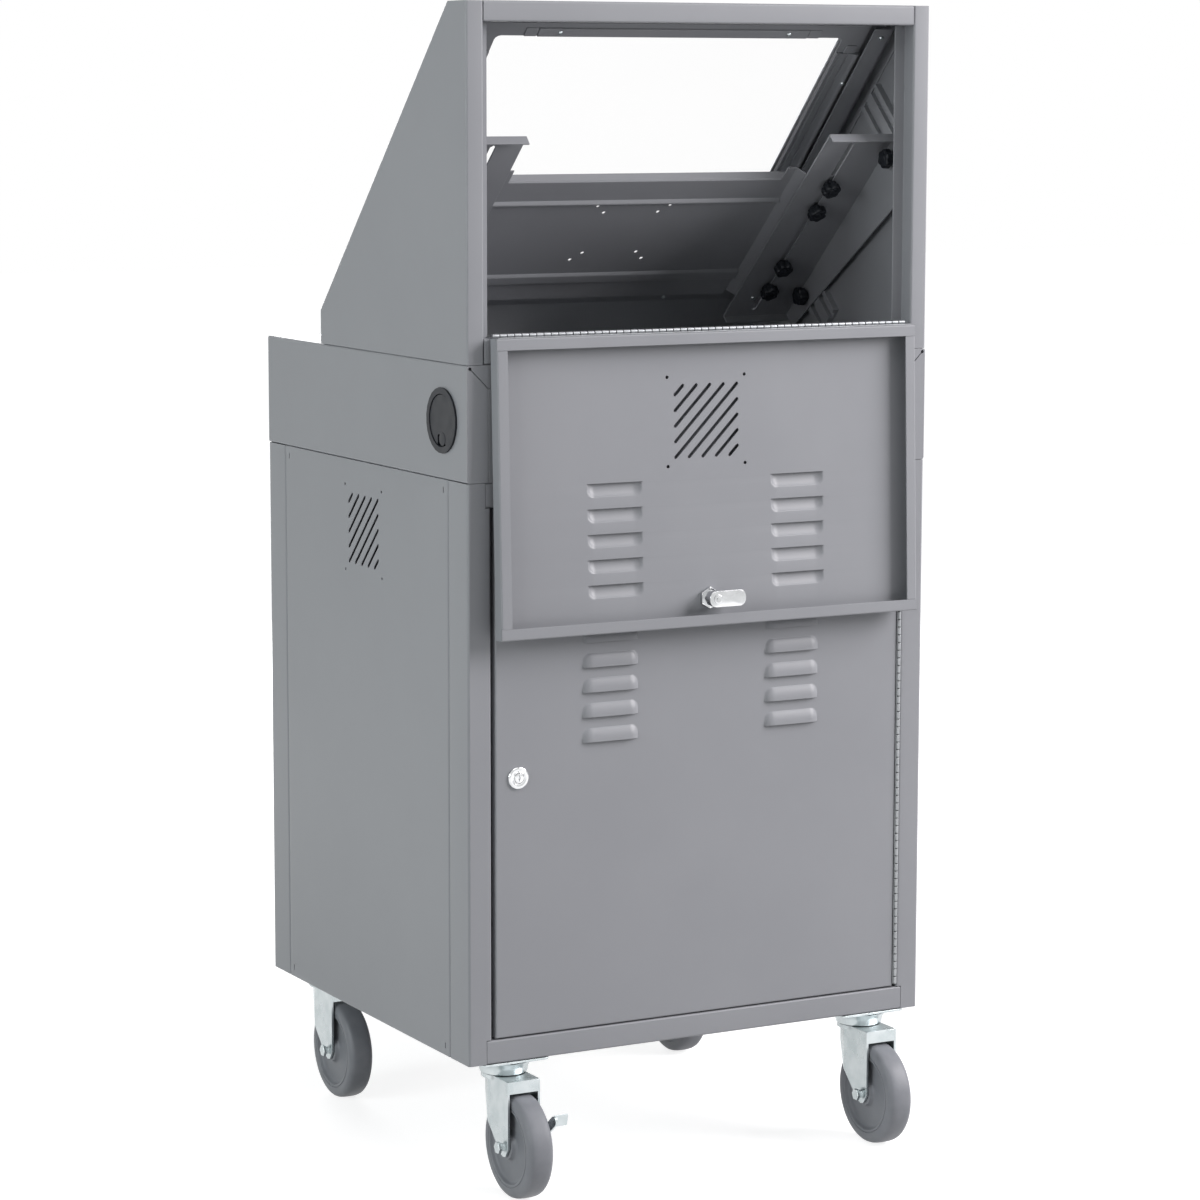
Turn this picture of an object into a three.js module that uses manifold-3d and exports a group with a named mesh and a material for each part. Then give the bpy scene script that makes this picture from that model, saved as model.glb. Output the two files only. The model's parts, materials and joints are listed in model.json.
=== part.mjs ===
// Mobile computer cabinet: a sheet-metal body on four swivel casters, a keyboard drawer above it,
// and a hood whose sloping window hides a monitor. The upper rear door hangs open on its piano hinge.
// Millimetres, +Z up, the operator stands at -Y, the rear doors face +Y.
import * as THREE from 'three';
import { mergeVertices } from 'three/addons/utils/BufferGeometryUtils.js';
import Module from 'manifold-3d';

// Overall dimensions
const CABINET_WIDTH = 622.3;
const CABINET_DEPTH = 571.5;
const CASTER_HEIGHT = 163;
const BODY_HEIGHT = 686;
const BAND_HEIGHT = 136;
const HOOD_HEIGHT = 412;
const HOOD_DEPTH = 407;
const HOOD_TOP_DEPTH = 47.5;
const HOOD_FRONT_HEIGHT = 41.6;

// Sheet metal
const SHEET = 1.5;
const BEND = 1;
const SEAM = 0.4;
const RUNNING_GAP = 1.5;
const OVERRUN = 5;
const WELD = 0.5;
const MERGE = 0.001;

// Corner posts, base and deck
const POST_SIDE = 51;
const POST_FACE = 30;
const STOP_DEPTH = 20;
const STOP_LIP = 12;
const EDGE_RETURN = 12;
const RAIL_HEIGHT = 28.5;
const RAIL_OVERLAP = 6.4;
const WING_SETBACK = 55.75;
const WING_FLANGE = 20;
const CABLE_SLOT_WIDTH = 140;
const CABLE_SLOT_DEPTH = 60;
const CABLE_SLOT_SETBACK = 105;
const SHELF_HEIGHT = 300;
const SHELF_FLANGE = 25;
const SHELF_SETBACK = 59.75;

// Vents and louvers
const VENT_SPAN = 84;
const VENT_STEP = 18.4;
const VENT_SLOT_WIDTH = 4;
const VENT_SLOTS_EACH_SIDE = 4;
const VENT_HOLE_SPACING = 105;
const VENT_HOLE = 4;
const SIDE_VENT_DROP = 84;
const LOUVER_WIDTH = 75;
const LOUVER_HEIGHT = 17;
const LOUVER_RISE = 6;
const LOUVER_END = 11;
const LOUVER_PITCH = 29.7;
const LOUVER_COUNT = 5;
const LOUVER_INSET = 186.85;
const LOUVER_CREST_SHARE = 0.35;
const LOUVER_SIDE_SHARE = 0.6;
const TIE_SLOT_LENGTH = 9;
const TIE_SLOT_WIDTH = 2;
const TIE_SLOT_INSET = 12;

// Doors
const DOOR_DEPTH = 18;
const DOOR_LIP = 12;
const LOWER_LOUVER_DROP = 176.5;
const UPPER_DOOR_INSET = 28.15;
const UPPER_DOOR_LENGTH = 350;
const UPPER_VENT_CENTRE = 107.5;
const UPPER_LOUVER_TOP = 175.5;
const UPPER_LOCK_CENTRE = 318;
const UPPER_HINGE_RISE = 33;
const UPPER_DOOR_TILT = 2;
const LOWER_LOCK_DROP = 347;
const LOWER_LOCK_INSET = 34.8;
const LATCH_GAP = 5.25;

// Piano hinges
const KNUCKLE_RADIUS = 2.5;
const KNUCKLE_LENGTH = 57;
const HINGE_PIN_RADIUS = 1.1;
const HINGE_BORE_RADIUS = 1.7;
const HINGE_STANDOFF = 1;
const HINGE_EDGE = 2.9;
const HINGE_LEAF = 1.2;
const HINGE_LEAF_CLEAR = 3.4;
const HINGE_LEAF_END = 16;
const HINGE_MARGIN = 3;

// Cam locks
const LOCK_RING_RADIUS = 13.5;
const LOCK_RING_HEIGHT = 3;
const LOCK_BARREL_RADIUS = 9.5;
const LOCK_BARREL_LENGTH = 22;
const LOCK_BORE_RADIUS = 6.6;
const LOCK_PLUG_RADIUS = 6;
const LOCK_PLUG_PROUD = 0.6;
const KEYWAY_WIDTH = 1.4;
const KEYWAY_LENGTH = 7;
const KEYWAY_DEPTH = 2;
const LOCK_NUT_RADIUS = 13;
const LOCK_NUT_HEIGHT = 5;
const CAM_LENGTH = 49;
const CAM_WIDTH = 19.5;
const CAM_THICKNESS = 2.2;
const CAM_TAIL = 10.5;
const CAM_CORNER = 8;
const CAM_SCREW_RADIUS = 4.5;
const CAM_SCREW_HEIGHT = 2.5;

// Keyboard band
const BAND_FLANGE = 27;
const MITRE_GAP = 0.8;
const RELIEF_RADIUS = 2;
const RELIEF_INSET = 4;
const HOOD_PORT_WIDTH = 300;
const HOOD_PORT_DEPTH = 140;
const HOOD_PORT_SETBACK = 155;
const GROMMET_SETBACK = 63.75;
const GROMMET_HEIGHT = 68.7;
const GROMMET_HOLE = 35;
const GROMMET_FLANGE = 38.5;
const GROMMET_FLANGE_HEIGHT = 2.5;
const GROMMET_SLEEVE = 34.5;
const GROMMET_BORE = 31;
const GROMMET_DEPTH = 14;
const CAP_RADIUS = 30.4;
const CAP_THICKNESS = 3;
const CAP_SEAT_WIDTH = 3;
const CAP_NOTCH_WIDTH = 20;
const CAP_NOTCH_DEPTH = 14;

// Keyboard drawer
const DRAWER_CLEARANCE = 0.8;
const FINGER_GAP = 20;
const TRAY_REAR_GAP = 167.5;
const TRAY_WALL = 40;
const TRAY_FLOOR_HEIGHT = 12;
const TRAY_INSET = 43.15;
const SLIDE_HEIGHT = 40;
const SLIDE_CHANNEL_HALF = 13;
const SLIDE_CHANNEL_DEPTH = 12.5;
const SLIDE_SHEET = 1.5;
const SLIDE_REAR_GAP = 116;
const SLIDE_SETBACK = 20.5;
const SLIDE_PLAY = 0.5;
const SLIDE_GAP = 1.5;
const SLIDE_BRACKET_RISE = 25;
const RUNNER_SETBACK = 34;
const RUNNER_REAR_GAP = 177.5;

// Hood shell
const HOOD_FLANGE = 22;
const HOOD_LIP = 14;
const HOOD_FOOT = 15;
const HOOD_TOP_FLANGE = 23.5;
const HOOD_TOP_RETURN = 15;
const HOOD_TOP_DROP = 14;
const HOOD_TOP_SETBACK = 3.7;
const PANEL_SIDE_FLANGE = 18;
const PANEL_FLANGE_INSET = 24;
const SILL_RETURN = 15;

// Window
const WINDOW_INSET = 77.15;
const WINDOW_BOTTOM = 62;
const WINDOW_TOP_INSET = 48.1748;
const WINDOW_CORNER = 7;
const PANE_OVERLAP = 8;
const PANE_THICKNESS = 3;
const RETAINER_SIDE = 34;
const RETAINER_END = 22;
const RETAINER_LIP = 1.5;

// Guide rails on the hood walls, square to the sloping window
const GUIDE_DEPTH = 8.5;
const GUIDE_WIDTH = 45;
const GUIDE_EDGE = 12;
const GUIDE_START = 24;
const GUIDE_END = 155;
const GROOVE_WIDTH = 9;
const GROOVE_DEPTH = 5.5;
const GROOVE_SPACING = 22.5;

// Monitor plate and its brackets, in a plane tilted back from the horizontal
const PLATE_TILT = 42.6;
const PLATE_SETBACK = 206.65;
const PLATE_RISE = 138.4;
const PLATE_TOP = 96;
const PLATE_BOTTOM = 126;
const PLATE_INSET = 100.75;
const PLATE_FLANGE = 12;
const PLATE_JOG = 12;
const PLATE_END_TOP = 116;
const PLATE_END_BOTTOM = 116;
const PLATE_END_INSET = 38.75;
const UPPER_BEAD_TOP = 61;
const UPPER_BEAD_BOTTOM = 52;
const LOWER_BEAD_TOP = 75;
const LOWER_BEAD_BOTTOM = 94;
const BEAD_RISE = 3.5;
const BEAD_SLOPE = 3;
const MONITOR_PATTERNS = [75, 100];
const MONITOR_HOLE = 5;
const BRACKET_OFFSET = 14;
const BRACKET_SHEET = 2;
const BRACKET_WIDTH = 94.75;
const BRACKET_TOP = 193;
const BRACKET_BOTTOM = 152;
const BRACKET_END_LIP = 10;
const BRACKET_SLOT_WIDTH = 7;
const BRACKET_SLOT_TOP = 179;
const BRACKET_SLOT_BOTTOM = 140;
const SLOT_INSET = 56.75;
const SIDE_FLANGE_TOP_DEPTH = 30;
const SIDE_FLANGE_CORNER = 150;
const SIDE_FLANGE_CORNER_DEPTH = 82;
const SIDE_FLANGE_BOTTOM_DEPTH = 37;

// Clamp knobs
const KNOB_RADIUS = 12;
const KNOB_WAIST = 9.6;
const KNOB_LOBES = 6;
const KNOB_HEIGHT = 11;
const KNOB_HUB_RADIUS = 7;
const KNOB_HUB_HEIGHT = 4;
const KNOB_STUD_RADIUS = 2.5;
const KNOB_STUD_LENGTH = 7.6;
const KNOB_HOLE = 6.4;
const PLATE_KNOBS = [104, 60, -47, -93];
const SIDE_KNOBS = [[170, 34], [-97, 30]];

// Casters
const WHEEL_RADIUS = 63.5;
const WHEEL_HALF_WIDTH = 16;
const WHEEL_HUB_HALF = 17.6;
const WHEEL_HUB_RADIUS = 15;
const WHEEL_HUB_FOOT = 19;
const WHEEL_WEB_HALF = 11;
const WHEEL_WEB_RADIUS = 45;
const WHEEL_RIM_RADIUS = 48;
const WHEEL_SHOULDER = 58.5;
const WHEEL_TREAD_HALF = 10;
const AXLE_RADIUS = 4;
const AXLE_BORE = 4.6;
const SWIVEL_INSET = 62.55;
const SWIVEL_SETBACK = 34.75;
const TRAIL = 40;
const PLATE_LENGTH = 88;
const PLATE_WIDTH = 68;
const PLATE_THICKNESS = 3;
const RACE_TOP_RADIUS = 33;
const RACE_BOTTOM_RADIUS = 28;
const RACE_HEIGHT = 15.6;
const KINGPIN_RADIUS = 5;
const KINGPIN_BORE = 6;
const FORK_SHEET = 3;
const FORK_HALF_WIDTH = 21.5;
const FORK_REAR = 13;
const FORK_CROWN_RADIUS = 27;
const FORK_CROWN_DEPTH = 5;
const FORK_SKIRT = 15;
const FORK_SHOULDER = 18;
const FORK_SHOULDER_IN = 6;
const FORK_TIP = 12;
const FORK_KNEE_FORWARD = 41;
const FORK_KNEE_RISE = 24;
const FORK_HIP_RISE = 56;
const BOLT_COLLAR_RADIUS = 5;
const BOLT_HEAD_RADIUS = 7.5;
const BOLT_COLLAR = 4;
const BOLT_HEAD = 4;
const LEVER_THICKNESS = 3;
const LEVER_HUB = 11;
const LEVER_HOLE = 5.6;
const LEVER_REACH = 46;
const LEVER_RISE = 37;
const LEVER_WIDTH = 12;
const LEVER_PAD_WIDTH = 15;
const LEVER_PAD_LENGTH = 13;
const LEVER_PAD_TILT = 36;

// Facets of the round forms
const KNUCKLE_SIDES = 6;
const HEX_SIDES = 6;
const SMALL_SIDES = 8;
const LOCK_SIDES = 12;
const RACE_SIDES = 16;
const GROMMET_SIDES = 24;
const WHEEL_SIDES = 24;
const BEND_STEPS = 2;
const BEAD_STEPS = 1;
const SLOT_STEPS = 2;
const FINE_SLOT_STEPS = 1;
const CABLE_SLOT_STEPS = 6;
const CORNER_STEPS = 3;
const PLATE_CORNER_STEPS = 2;
const LEVER_STEPS = 4;

// Levels and half sizes that follow from them
const halfWidth = CABINET_WIDTH / 2;
const halfDepth = CABINET_DEPTH / 2;
const baseLevel = CASTER_HEIGHT;
const bandLevel = baseLevel + BODY_HEIGHT;
const hoodLevel = bandLevel + BAND_HEIGHT;
const topLevel = hoodLevel + HOOD_HEIGHT;
const innerWidth = halfWidth - SHEET - SEAM;
const openingHalf = halfWidth - POST_FACE;
const hoodFront = halfDepth - HOOD_DEPTH;
const slopeRun = HOOD_DEPTH - HOOD_TOP_DEPTH;
const slopeRise = HOOD_HEIGHT - HOOD_FRONT_HEIGHT;
const slopeLength = Math.hypot(slopeRun, slopeRise);
const windowWidth = CABINET_WIDTH - 2 * WINDOW_INSET;
const windowTop = slopeLength - WINDOW_TOP_INSET;
const trayHalfWidth = halfWidth - TRAY_INSET;
const guideFace = halfWidth - SHEET - GUIDE_DEPTH;
const bracketOuter = guideFace - SEAM;
const slotLine = bracketOuter - SLOT_INSET;
const upperHingeLevel = hoodLevel + UPPER_HINGE_RISE;
const degrees = Math.PI / 180;

const wasm = await Module();
wasm.setup();

// A closed geometry as a solid that can be cut and joined
function solid(geometry) {
  const bare = geometry.index ? geometry.toNonIndexed() : geometry.clone();
  bare.deleteAttribute('normal');
  bare.deleteAttribute('uv');
  const merged = mergeVertices(bare, MERGE);
  const vertProperties = merged.attributes.position.array;
  const triVerts = new Uint32Array(merged.index.array);
  return new wasm.Manifold(new wasm.Mesh({ numProp: 3, vertProperties, triVerts }));
}

function join(...pieces) {
  return pieces.flat().reduce((whole, piece) => whole.add(piece));
}

function cut(body, ...tools) {
  return tools.flat().reduce((whole, tool) => whole.subtract(tool), body);
}

function block([x0, x1], [y0, y1], [z0, z1]) {
  const geometry = new THREE.BoxGeometry(Math.abs(x1 - x0), Math.abs(y1 - y0), Math.abs(z1 - z0));
  return solid(geometry.translate((x0 + x1) / 2, (y0 + y1) / 2, (z0 + z1) / 2));
}

const X = new THREE.Vector3(1, 0, 0);
const Y = new THREE.Vector3(0, 1, 0);
const Z = new THREE.Vector3(0, 0, 1);

function basis(right, up, out) {
  return new THREE.Matrix4().makeBasis(right, up, out);
}

const alongX = basis(Y, Z, X);
const alongY = basis(X, Z, Y.clone().negate());

// An outline drawn in the two other axes and extruded along X, Y or Z
function prism(outline, from, to, axis = 'z') {
  const shape = new THREE.Shape(outline.map(([a, b]) => new THREE.Vector2(a, b)));
  const geometry = new THREE.ExtrudeGeometry(shape, { depth: to - from, bevelEnabled: false });
  geometry.translate(0, 0, axis === 'y' ? -to : from);
  if (axis === 'x') geometry.applyMatrix4(alongX);
  if (axis === 'y') geometry.applyMatrix4(alongY);
  return solid(geometry);
}

function rectangle([a0, a1], [b0, b1]) {
  return [[a0, b0], [a1, b0], [a1, b1], [a0, b1]];
}

function circle([a, b], radius, sides, turn = 0) {
  return Array.from({ length: sides }, (_, i) => {
    const angle = turn + (i * 2 * Math.PI) / sides;
    return [a + radius * Math.cos(angle), b + radius * Math.sin(angle)];
  });
}

// A long hole with round ends, its straight run centred on a point and turned by an angle
function slot([a, b], run, width, angle = 0, steps = SLOT_STEPS) {
  const points = [];
  for (const end of [1, -1]) {
    for (let i = 0; i <= steps; i += 1) {
      const bow = angle + (end > 0 ? -Math.PI / 2 : Math.PI / 2) + (i * Math.PI) / steps;
      points.push([
        a + (end * run * Math.cos(angle)) / 2 + (width * Math.cos(bow)) / 2,
        b + (end * run * Math.sin(angle)) / 2 + (width * Math.sin(bow)) / 2,
      ]);
    }
  }
  return points;
}

// An outline with every corner rounded
function rounded(corners, radius, steps = CORNER_STEPS) {
  return corners.flatMap((corner, i) => {
    const here = new THREE.Vector2(...corner);
    const before = new THREE.Vector2(...corners.at(i - 1)).sub(here).normalize();
    const after = new THREE.Vector2(...corners[(i + 1) % corners.length]).sub(here).normalize();
    const half = Math.acos(before.dot(after)) / 2;
    const start = here.clone().addScaledVector(before, radius / Math.tan(half));
    const middle = before.clone().add(after).normalize();
    const centre = here.clone().addScaledVector(middle, radius / Math.sin(half));
    const first = start.sub(centre);
    const sweep = (Math.PI - 2 * half) * Math.sign(after.cross(before));
    return Array.from({ length: steps + 1 }, (_, k) => {
      const point = first.clone().rotateAround(new THREE.Vector2(), (sweep * k) / steps).add(centre);
      return [point.x, point.y];
    });
  });
}

// The section of a folded sheet: its face follows the corners, its thickness lies to their right
function folded(corners, thickness = SHEET, bend = BEND, steps = BEND_STEPS) {
  const face = [];
  const back = [];
  corners.forEach((corner, i) => {
    const here = new THREE.Vector2(...corner);
    const before = corners[i - 1] && here.clone().sub(new THREE.Vector2(...corners[i - 1])).normalize();
    const after = corners[i + 1] && new THREE.Vector2(...corners[i + 1]).sub(here).normalize();
    const along = before ?? after;
    const right = new THREE.Vector2(along.y, -along.x);
    if (!before || !after) {
      face.push(here);
      back.push(here.clone().addScaledVector(right, thickness));
      return;
    }
    const turn = Math.atan2(before.cross(after), before.dot(after));
    const side = turn < 0 ? 1 : -1;
    const faceRadius = turn < 0 ? bend + thickness : bend;
    const backRadius = turn < 0 ? bend : bend + thickness;
    const start = here.clone().addScaledVector(before, -faceRadius * Math.tan(Math.abs(turn) / 2));
    const centre = start.clone().addScaledVector(right, side * faceRadius);
    for (let k = 0; k <= steps; k += 1) {
      const spoke = right.clone().multiplyScalar(-side);
      spoke.rotateAround(new THREE.Vector2(), (turn * k) / steps);
      face.push(centre.clone().addScaledVector(spoke, faceRadius));
      back.push(centre.clone().addScaledVector(spoke, backRadius));
    }
  });
  return [...face, ...back.reverse()].map((point) => [point.x, point.y]);
}

// A solid of revolution about the Z axis, from [radius, height] pairs that close on themselves
function turned(profile, sides) {
  const loop = [...profile, profile[0]].reverse().map(([radius, height]) => new THREE.Vector2(radius, height));
  const geometry = new THREE.LatheGeometry(loop, sides, Math.PI / sides);
  geometry.applyMatrix4(basis(Y, Z, X));
  return solid(geometry);
}

function moved(shape, matrix) {
  return solid(geometryOf(shape).applyMatrix4(matrix));
}

function geometryOf(shape) {
  const { vertProperties, triVerts } = shape.getMesh();
  const geometry = new THREE.BufferGeometry();
  geometry.setAttribute('position', new THREE.BufferAttribute(new Float32Array(vertProperties), 3));
  geometry.setIndex(new THREE.BufferAttribute(new Uint32Array(triVerts), 1));
  return geometry;
}

// Finishes
const finish = (color, roughness, metalness) => new THREE.MeshStandardMaterial({ color, roughness, metalness });
const greyPaint = finish(0x8b8e93, 0.45, 0.1);
const zincPlate = finish(0xb9c2c4, 0.35, 0.9);
const chrome = finish(0xd9dcde, 0.15, 1);
const greyRubber = finish(0x77797e, 0.6, 0);
const blackPlastic = finish(0x1b1c1f, 0.5, 0);
const clearPlastic = finish(0xdfe8ea, 0.05, 0);

function mesh(name, shape, material) {
  const geometry = geometryOf(shape).toNonIndexed();
  geometry.computeVertexNormals();
  const made = new THREE.Mesh(geometry, material.clone());
  made.name = name;
  return made;
}

function placed(object, x, y, z) {
  object.position.set(x, y, z);
  return object;
}

function pivot(name, x, y, z, ...children) {
  const group = placed(new THREE.Group(), x, y, z);
  group.name = name;
  children.forEach((child) => group.add(child));
  return group;
}

// Panels are drawn flat, X to the right and Y up as seen from outside, and Z outwards, then stood up
const facingRear = basis(X.clone().negate(), Z, Y);
const facingFront = basis(X, Z, Y.clone().negate());

function stoodUp(object, facing) {
  object.setRotationFromMatrix(facing);
  return object;
}

// Vent: slots at 45 degrees inside a square, leaning one way or the other, and a hole beyond each corner
function ventOutlines([a, b], lean = 1) {
  const outlines = [];
  for (let k = -VENT_SLOTS_EACH_SIDE; k <= VENT_SLOTS_EACH_SIDE; k += 1) {
    const run = (VENT_SPAN - Math.abs(k) * VENT_STEP) * Math.SQRT2;
    const shift = (k * VENT_STEP) / 2;
    outlines.push(slot([a + lean * shift, b - shift], run, VENT_SLOT_WIDTH, (lean * Math.PI) / 4));
  }
  for (const across of [-1, 1]) {
    for (const up of [-1, 1]) {
      const at = [a + (across * VENT_HOLE_SPACING) / 2, b + (up * VENT_HOLE_SPACING) / 2];
      outlines.push(circle(at, VENT_HOLE / 2, HEX_SIDES));
    }
  }
  return outlines;
}

// A louver's outer skin, or with the sheet as its offset the hollow behind it, from its mouth at Y zero up
function louverForm(offset, floor) {
  const half = LOUVER_WIDTH / 2 - offset;
  const height = LOUVER_HEIGHT - offset;
  const rise = LOUVER_RISE - offset;
  const crest = half - LOUVER_END + offset;
  const widthwise = [[half, floor], [half, 0], [crest, rise], [-crest, rise], [-half, 0], [-half, floor]];
  const crestUp = height * LOUVER_CREST_SHARE;
  const heightwise = [[0, floor], [height, floor], [height, 0], [crestUp, rise], [0, rise]];
  const knee = height * LOUVER_SIDE_SHARE;
  const footprint = [[half, 0], [half, knee], [crest, height], [-crest, height], [-half, knee], [-half, 0]];
  const wide = prism(widthwise, 0, height, 'y');
  const tall = prism(heightwise, -half, half, 'x');
  return wide.intersect(tall).intersect(prism(footprint, floor, rise));
}

// Two columns of louvers pressed outwards from a door
function withLouvers(door, top) {
  const skin = louverForm(0, -SHEET / 2);
  const hollow = louverForm(SHEET, -SHEET - OVERRUN);
  let made = door;
  for (const side of [-1, 1]) {
    for (let row = 0; row < LOUVER_COUNT; row += 1) {
      const up = top - LOUVER_HEIGHT - row * LOUVER_PITCH;
      const at = new THREE.Matrix4().makeTranslation(side * (halfWidth - LOUVER_INSET), up, 0);
      made = cut(join(made, moved(skin, at)), moved(hollow, at));
    }
  }
  return made;
}

// A door pan: skin, four walls and inward lips, its outer face at Z zero
function doorPan([left, right], [bottom, top]) {
  const lip = SHEET + DOOR_LIP;
  return cut(
    block([left, right], [bottom, top], [-DOOR_DEPTH, 0]),
    block([left + SHEET, right - SHEET], [bottom + SHEET, top - SHEET], [SHEET - DOOR_DEPTH, -SHEET]),
    block([left + lip, right - lip], [bottom + lip, top - lip], [-DOOR_DEPTH - OVERRUN, -SHEET]),
  );
}

// Piano hinge along X: its pin at the origin, the door on +Y and the frame on -Y, leaves turned in
function pianoHinge(length) {
  const half = length / 2;
  const count = 2 * Math.round(half / KNUCKLE_LENGTH) + 1;
  const pitch = length / count;
  const rod = (radius) => prism(circle([0, 0], radius, KNUCKLE_SIDES), -half, half, 'x');
  const strip = (side) => block([-half, half],
    [side * (HINGE_EDGE - HINGE_LEAF), side * (HINGE_EDGE + WELD)], [-HINGE_LEAF_END, -HINGE_LEAF_CLEAR]);
  let door = strip(1);
  let frame = join(rod(HINGE_PIN_RADIUS), strip(-1));
  for (let i = 0; i < count; i += 1) {
    const onDoor = i % 2 === 1;
    const side = onDoor ? 1 : -1;
    const from = i * pitch - half + SEAM / 2;
    const to = from + pitch - SEAM;
    const tab = block([from, to], [side * (HINGE_EDGE - HINGE_LEAF), side * HINGE_EDGE],
      [-HINGE_LEAF_CLEAR - WELD, 0]);
    const knuckle = join(prism(circle([0, 0], KNUCKLE_RADIUS, KNUCKLE_SIDES), from, to, 'x'), tab);
    if (onDoor) door = join(door, cut(knuckle, rod(HINGE_BORE_RADIUS)));
    else frame = join(frame, knuckle);
  }
  return { door, frame };
}

// Cam lock: the barrel with its ring and nut stays in the door, the plug and cam turn in it
function withLock(door, [x, y]) {
  const rod = (radius, sides, from, to) => prism(circle([x, y], radius, sides), from, to);
  const barrel = rod(LOCK_BARREL_RADIUS, LOCK_SIDES, -LOCK_BARREL_LENGTH, LOCK_RING_HEIGHT);
  const ring = rod(LOCK_RING_RADIUS, LOCK_SIDES, -WELD, LOCK_RING_HEIGHT);
  const nut = rod(LOCK_NUT_RADIUS, HEX_SIDES, -SHEET - LOCK_NUT_HEIGHT, -SHEET + WELD);
  const bore = rod(LOCK_BORE_RADIUS, LOCK_SIDES, -LOCK_BARREL_LENGTH - OVERRUN, OVERRUN);
  return cut(join(door, barrel, ring, nut), bore);
}

function lockPlug(name) {
  const camTop = -LOCK_BARREL_LENGTH - SEAM;
  const camBottom = camTop - CAM_THICKNESS;
  const face = LOCK_RING_HEIGHT + LOCK_PLUG_PROUD;
  const corners = rectangle([-CAM_TAIL, CAM_LENGTH - CAM_TAIL], [-CAM_WIDTH / 2, CAM_WIDTH / 2]);
  const outline = rounded(corners, CAM_CORNER);
  const keyway = block([-KEYWAY_LENGTH / 2, KEYWAY_LENGTH / 2], [-KEYWAY_WIDTH / 2, KEYWAY_WIDTH / 2],
    [face - KEYWAY_DEPTH, face + OVERRUN]);
  const plug = prism(circle([0, 0], LOCK_PLUG_RADIUS, LOCK_SIDES), camBottom, face);
  const screw = prism(circle([0, 0], CAM_SCREW_RADIUS, HEX_SIDES), camBottom - CAM_SCREW_HEIGHT, camTop);
  return mesh(name, cut(join(plug, prism(outline, camBottom, camTop), screw), keyway), chrome);
}

// Base pan and deck: one folded sheet whose ends are the rails of the door openings
function tray(level, turn) {
  const rail = [[halfDepth - STOP_DEPTH, RAIL_HEIGHT], [halfDepth, RAIL_HEIGHT], [halfDepth, 0]];
  const path = [...rail, ...rail.map(([y, z]) => [-y, z]).reverse()];
  const wing = [[innerWidth, WING_FLANGE], [innerWidth, 0], [-innerWidth, 0], [-innerWidth, WING_FLANGE]];
  const onLevel = (points) => points.map(([a, b]) => [turn * a, level + turn * b]);
  const railHalf = openingHalf + RAIL_OVERLAP;
  return join(
    prism(folded(onLevel(path)), -railHalf, railHalf, 'x'),
    prism(folded(onLevel(wing)), WING_SETBACK - halfDepth, halfDepth - WING_SETBACK, 'y'),
  );
}

function deck() {
  const centre = [0, halfDepth - CABLE_SLOT_SETBACK];
  const opening = slot(centre, CABLE_SLOT_WIDTH - CABLE_SLOT_DEPTH, CABLE_SLOT_DEPTH, 0, CABLE_SLOT_STEPS);
  return cut(tray(bandLevel, -1), prism(opening, bandLevel - RAIL_HEIGHT, bandLevel + OVERRUN));
}

function shelf() {
  const top = baseLevel + SHELF_HEIGHT;
  const reach = halfDepth - SHELF_SETBACK;
  return cut(
    block([-innerWidth, innerWidth], [-reach, reach], [top - SHELF_FLANGE, top]),
    block([SHEET - innerWidth, innerWidth - SHEET], [SHEET - reach, reach - SHEET],
      [top - SHELF_FLANGE - OVERRUN, top - SHEET]),
  );
}

// Lower doors hang on the post at the right of their opening, as seen from outside
const lowerDoorBottom = RAIL_HEIGHT + RUNNING_GAP;
const lowerDoorTop = BODY_HEIGHT - RAIL_HEIGHT - RUNNING_GAP;
const lowerDoorHeight = lowerDoorTop - lowerDoorBottom;
const lowerPin = openingHalf - HINGE_EDGE;
const lowerHinge = pianoHinge(lowerDoorHeight - 2 * HINGE_MARGIN);
const lowerHingeMiddle = (lowerDoorTop + lowerDoorBottom) / 2;

function cornerPost(hinged) {
  const face = halfDepth - STOP_DEPTH;
  const sideEnd = halfDepth - POST_SIDE;
  const section = folded([[openingHalf - STOP_LIP, face], [openingHalf, face], [openingHalf, halfDepth],
    [halfWidth, halfDepth], [halfWidth, sideEnd], [halfWidth - EDGE_RETURN, sideEnd]]);
  const notch = (from, to) => block([0, openingHalf + RAIL_OVERLAP + SEAM],
    [face - SHEET - OVERRUN, halfDepth + OVERRUN], [from, to]);
  const railTop = baseLevel + RAIL_HEIGHT + SEAM;
  const railUnder = bandLevel - RAIL_HEIGHT - SEAM;
  const post = cut(prism(section, baseLevel, bandLevel),
    notch(baseLevel - OVERRUN, railTop), notch(railUnder, bandLevel + OVERRUN));
  if (!hinged) return post;
  const onEdge = basis(Z.clone().negate(), X.clone().negate(), Y);
  onEdge.setPosition(lowerPin, halfDepth + HINGE_STANDOFF, baseLevel + lowerHingeMiddle);
  return join(post, moved(lowerHinge.frame, onEdge));
}

function lowerDoor(louvered) {
  const left = LATCH_GAP - openingHalf;
  const pan = doorPan([left, lowerPin - HINGE_EDGE], [lowerDoorBottom, lowerDoorTop]);
  const onEdge = basis(Y, X.clone().negate(), Z);
  onEdge.setPosition(lowerPin, lowerHingeMiddle, HINGE_STANDOFF);
  const hung = withLock(join(pan, moved(lowerHinge.door, onEdge)), lowerLock);
  return louvered ? withLouvers(hung, BODY_HEIGHT - LOWER_LOUVER_DROP) : hung;
}

const lowerLock = [LOWER_LOCK_INSET - openingHalf, BODY_HEIGHT - LOWER_LOCK_DROP];

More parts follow.
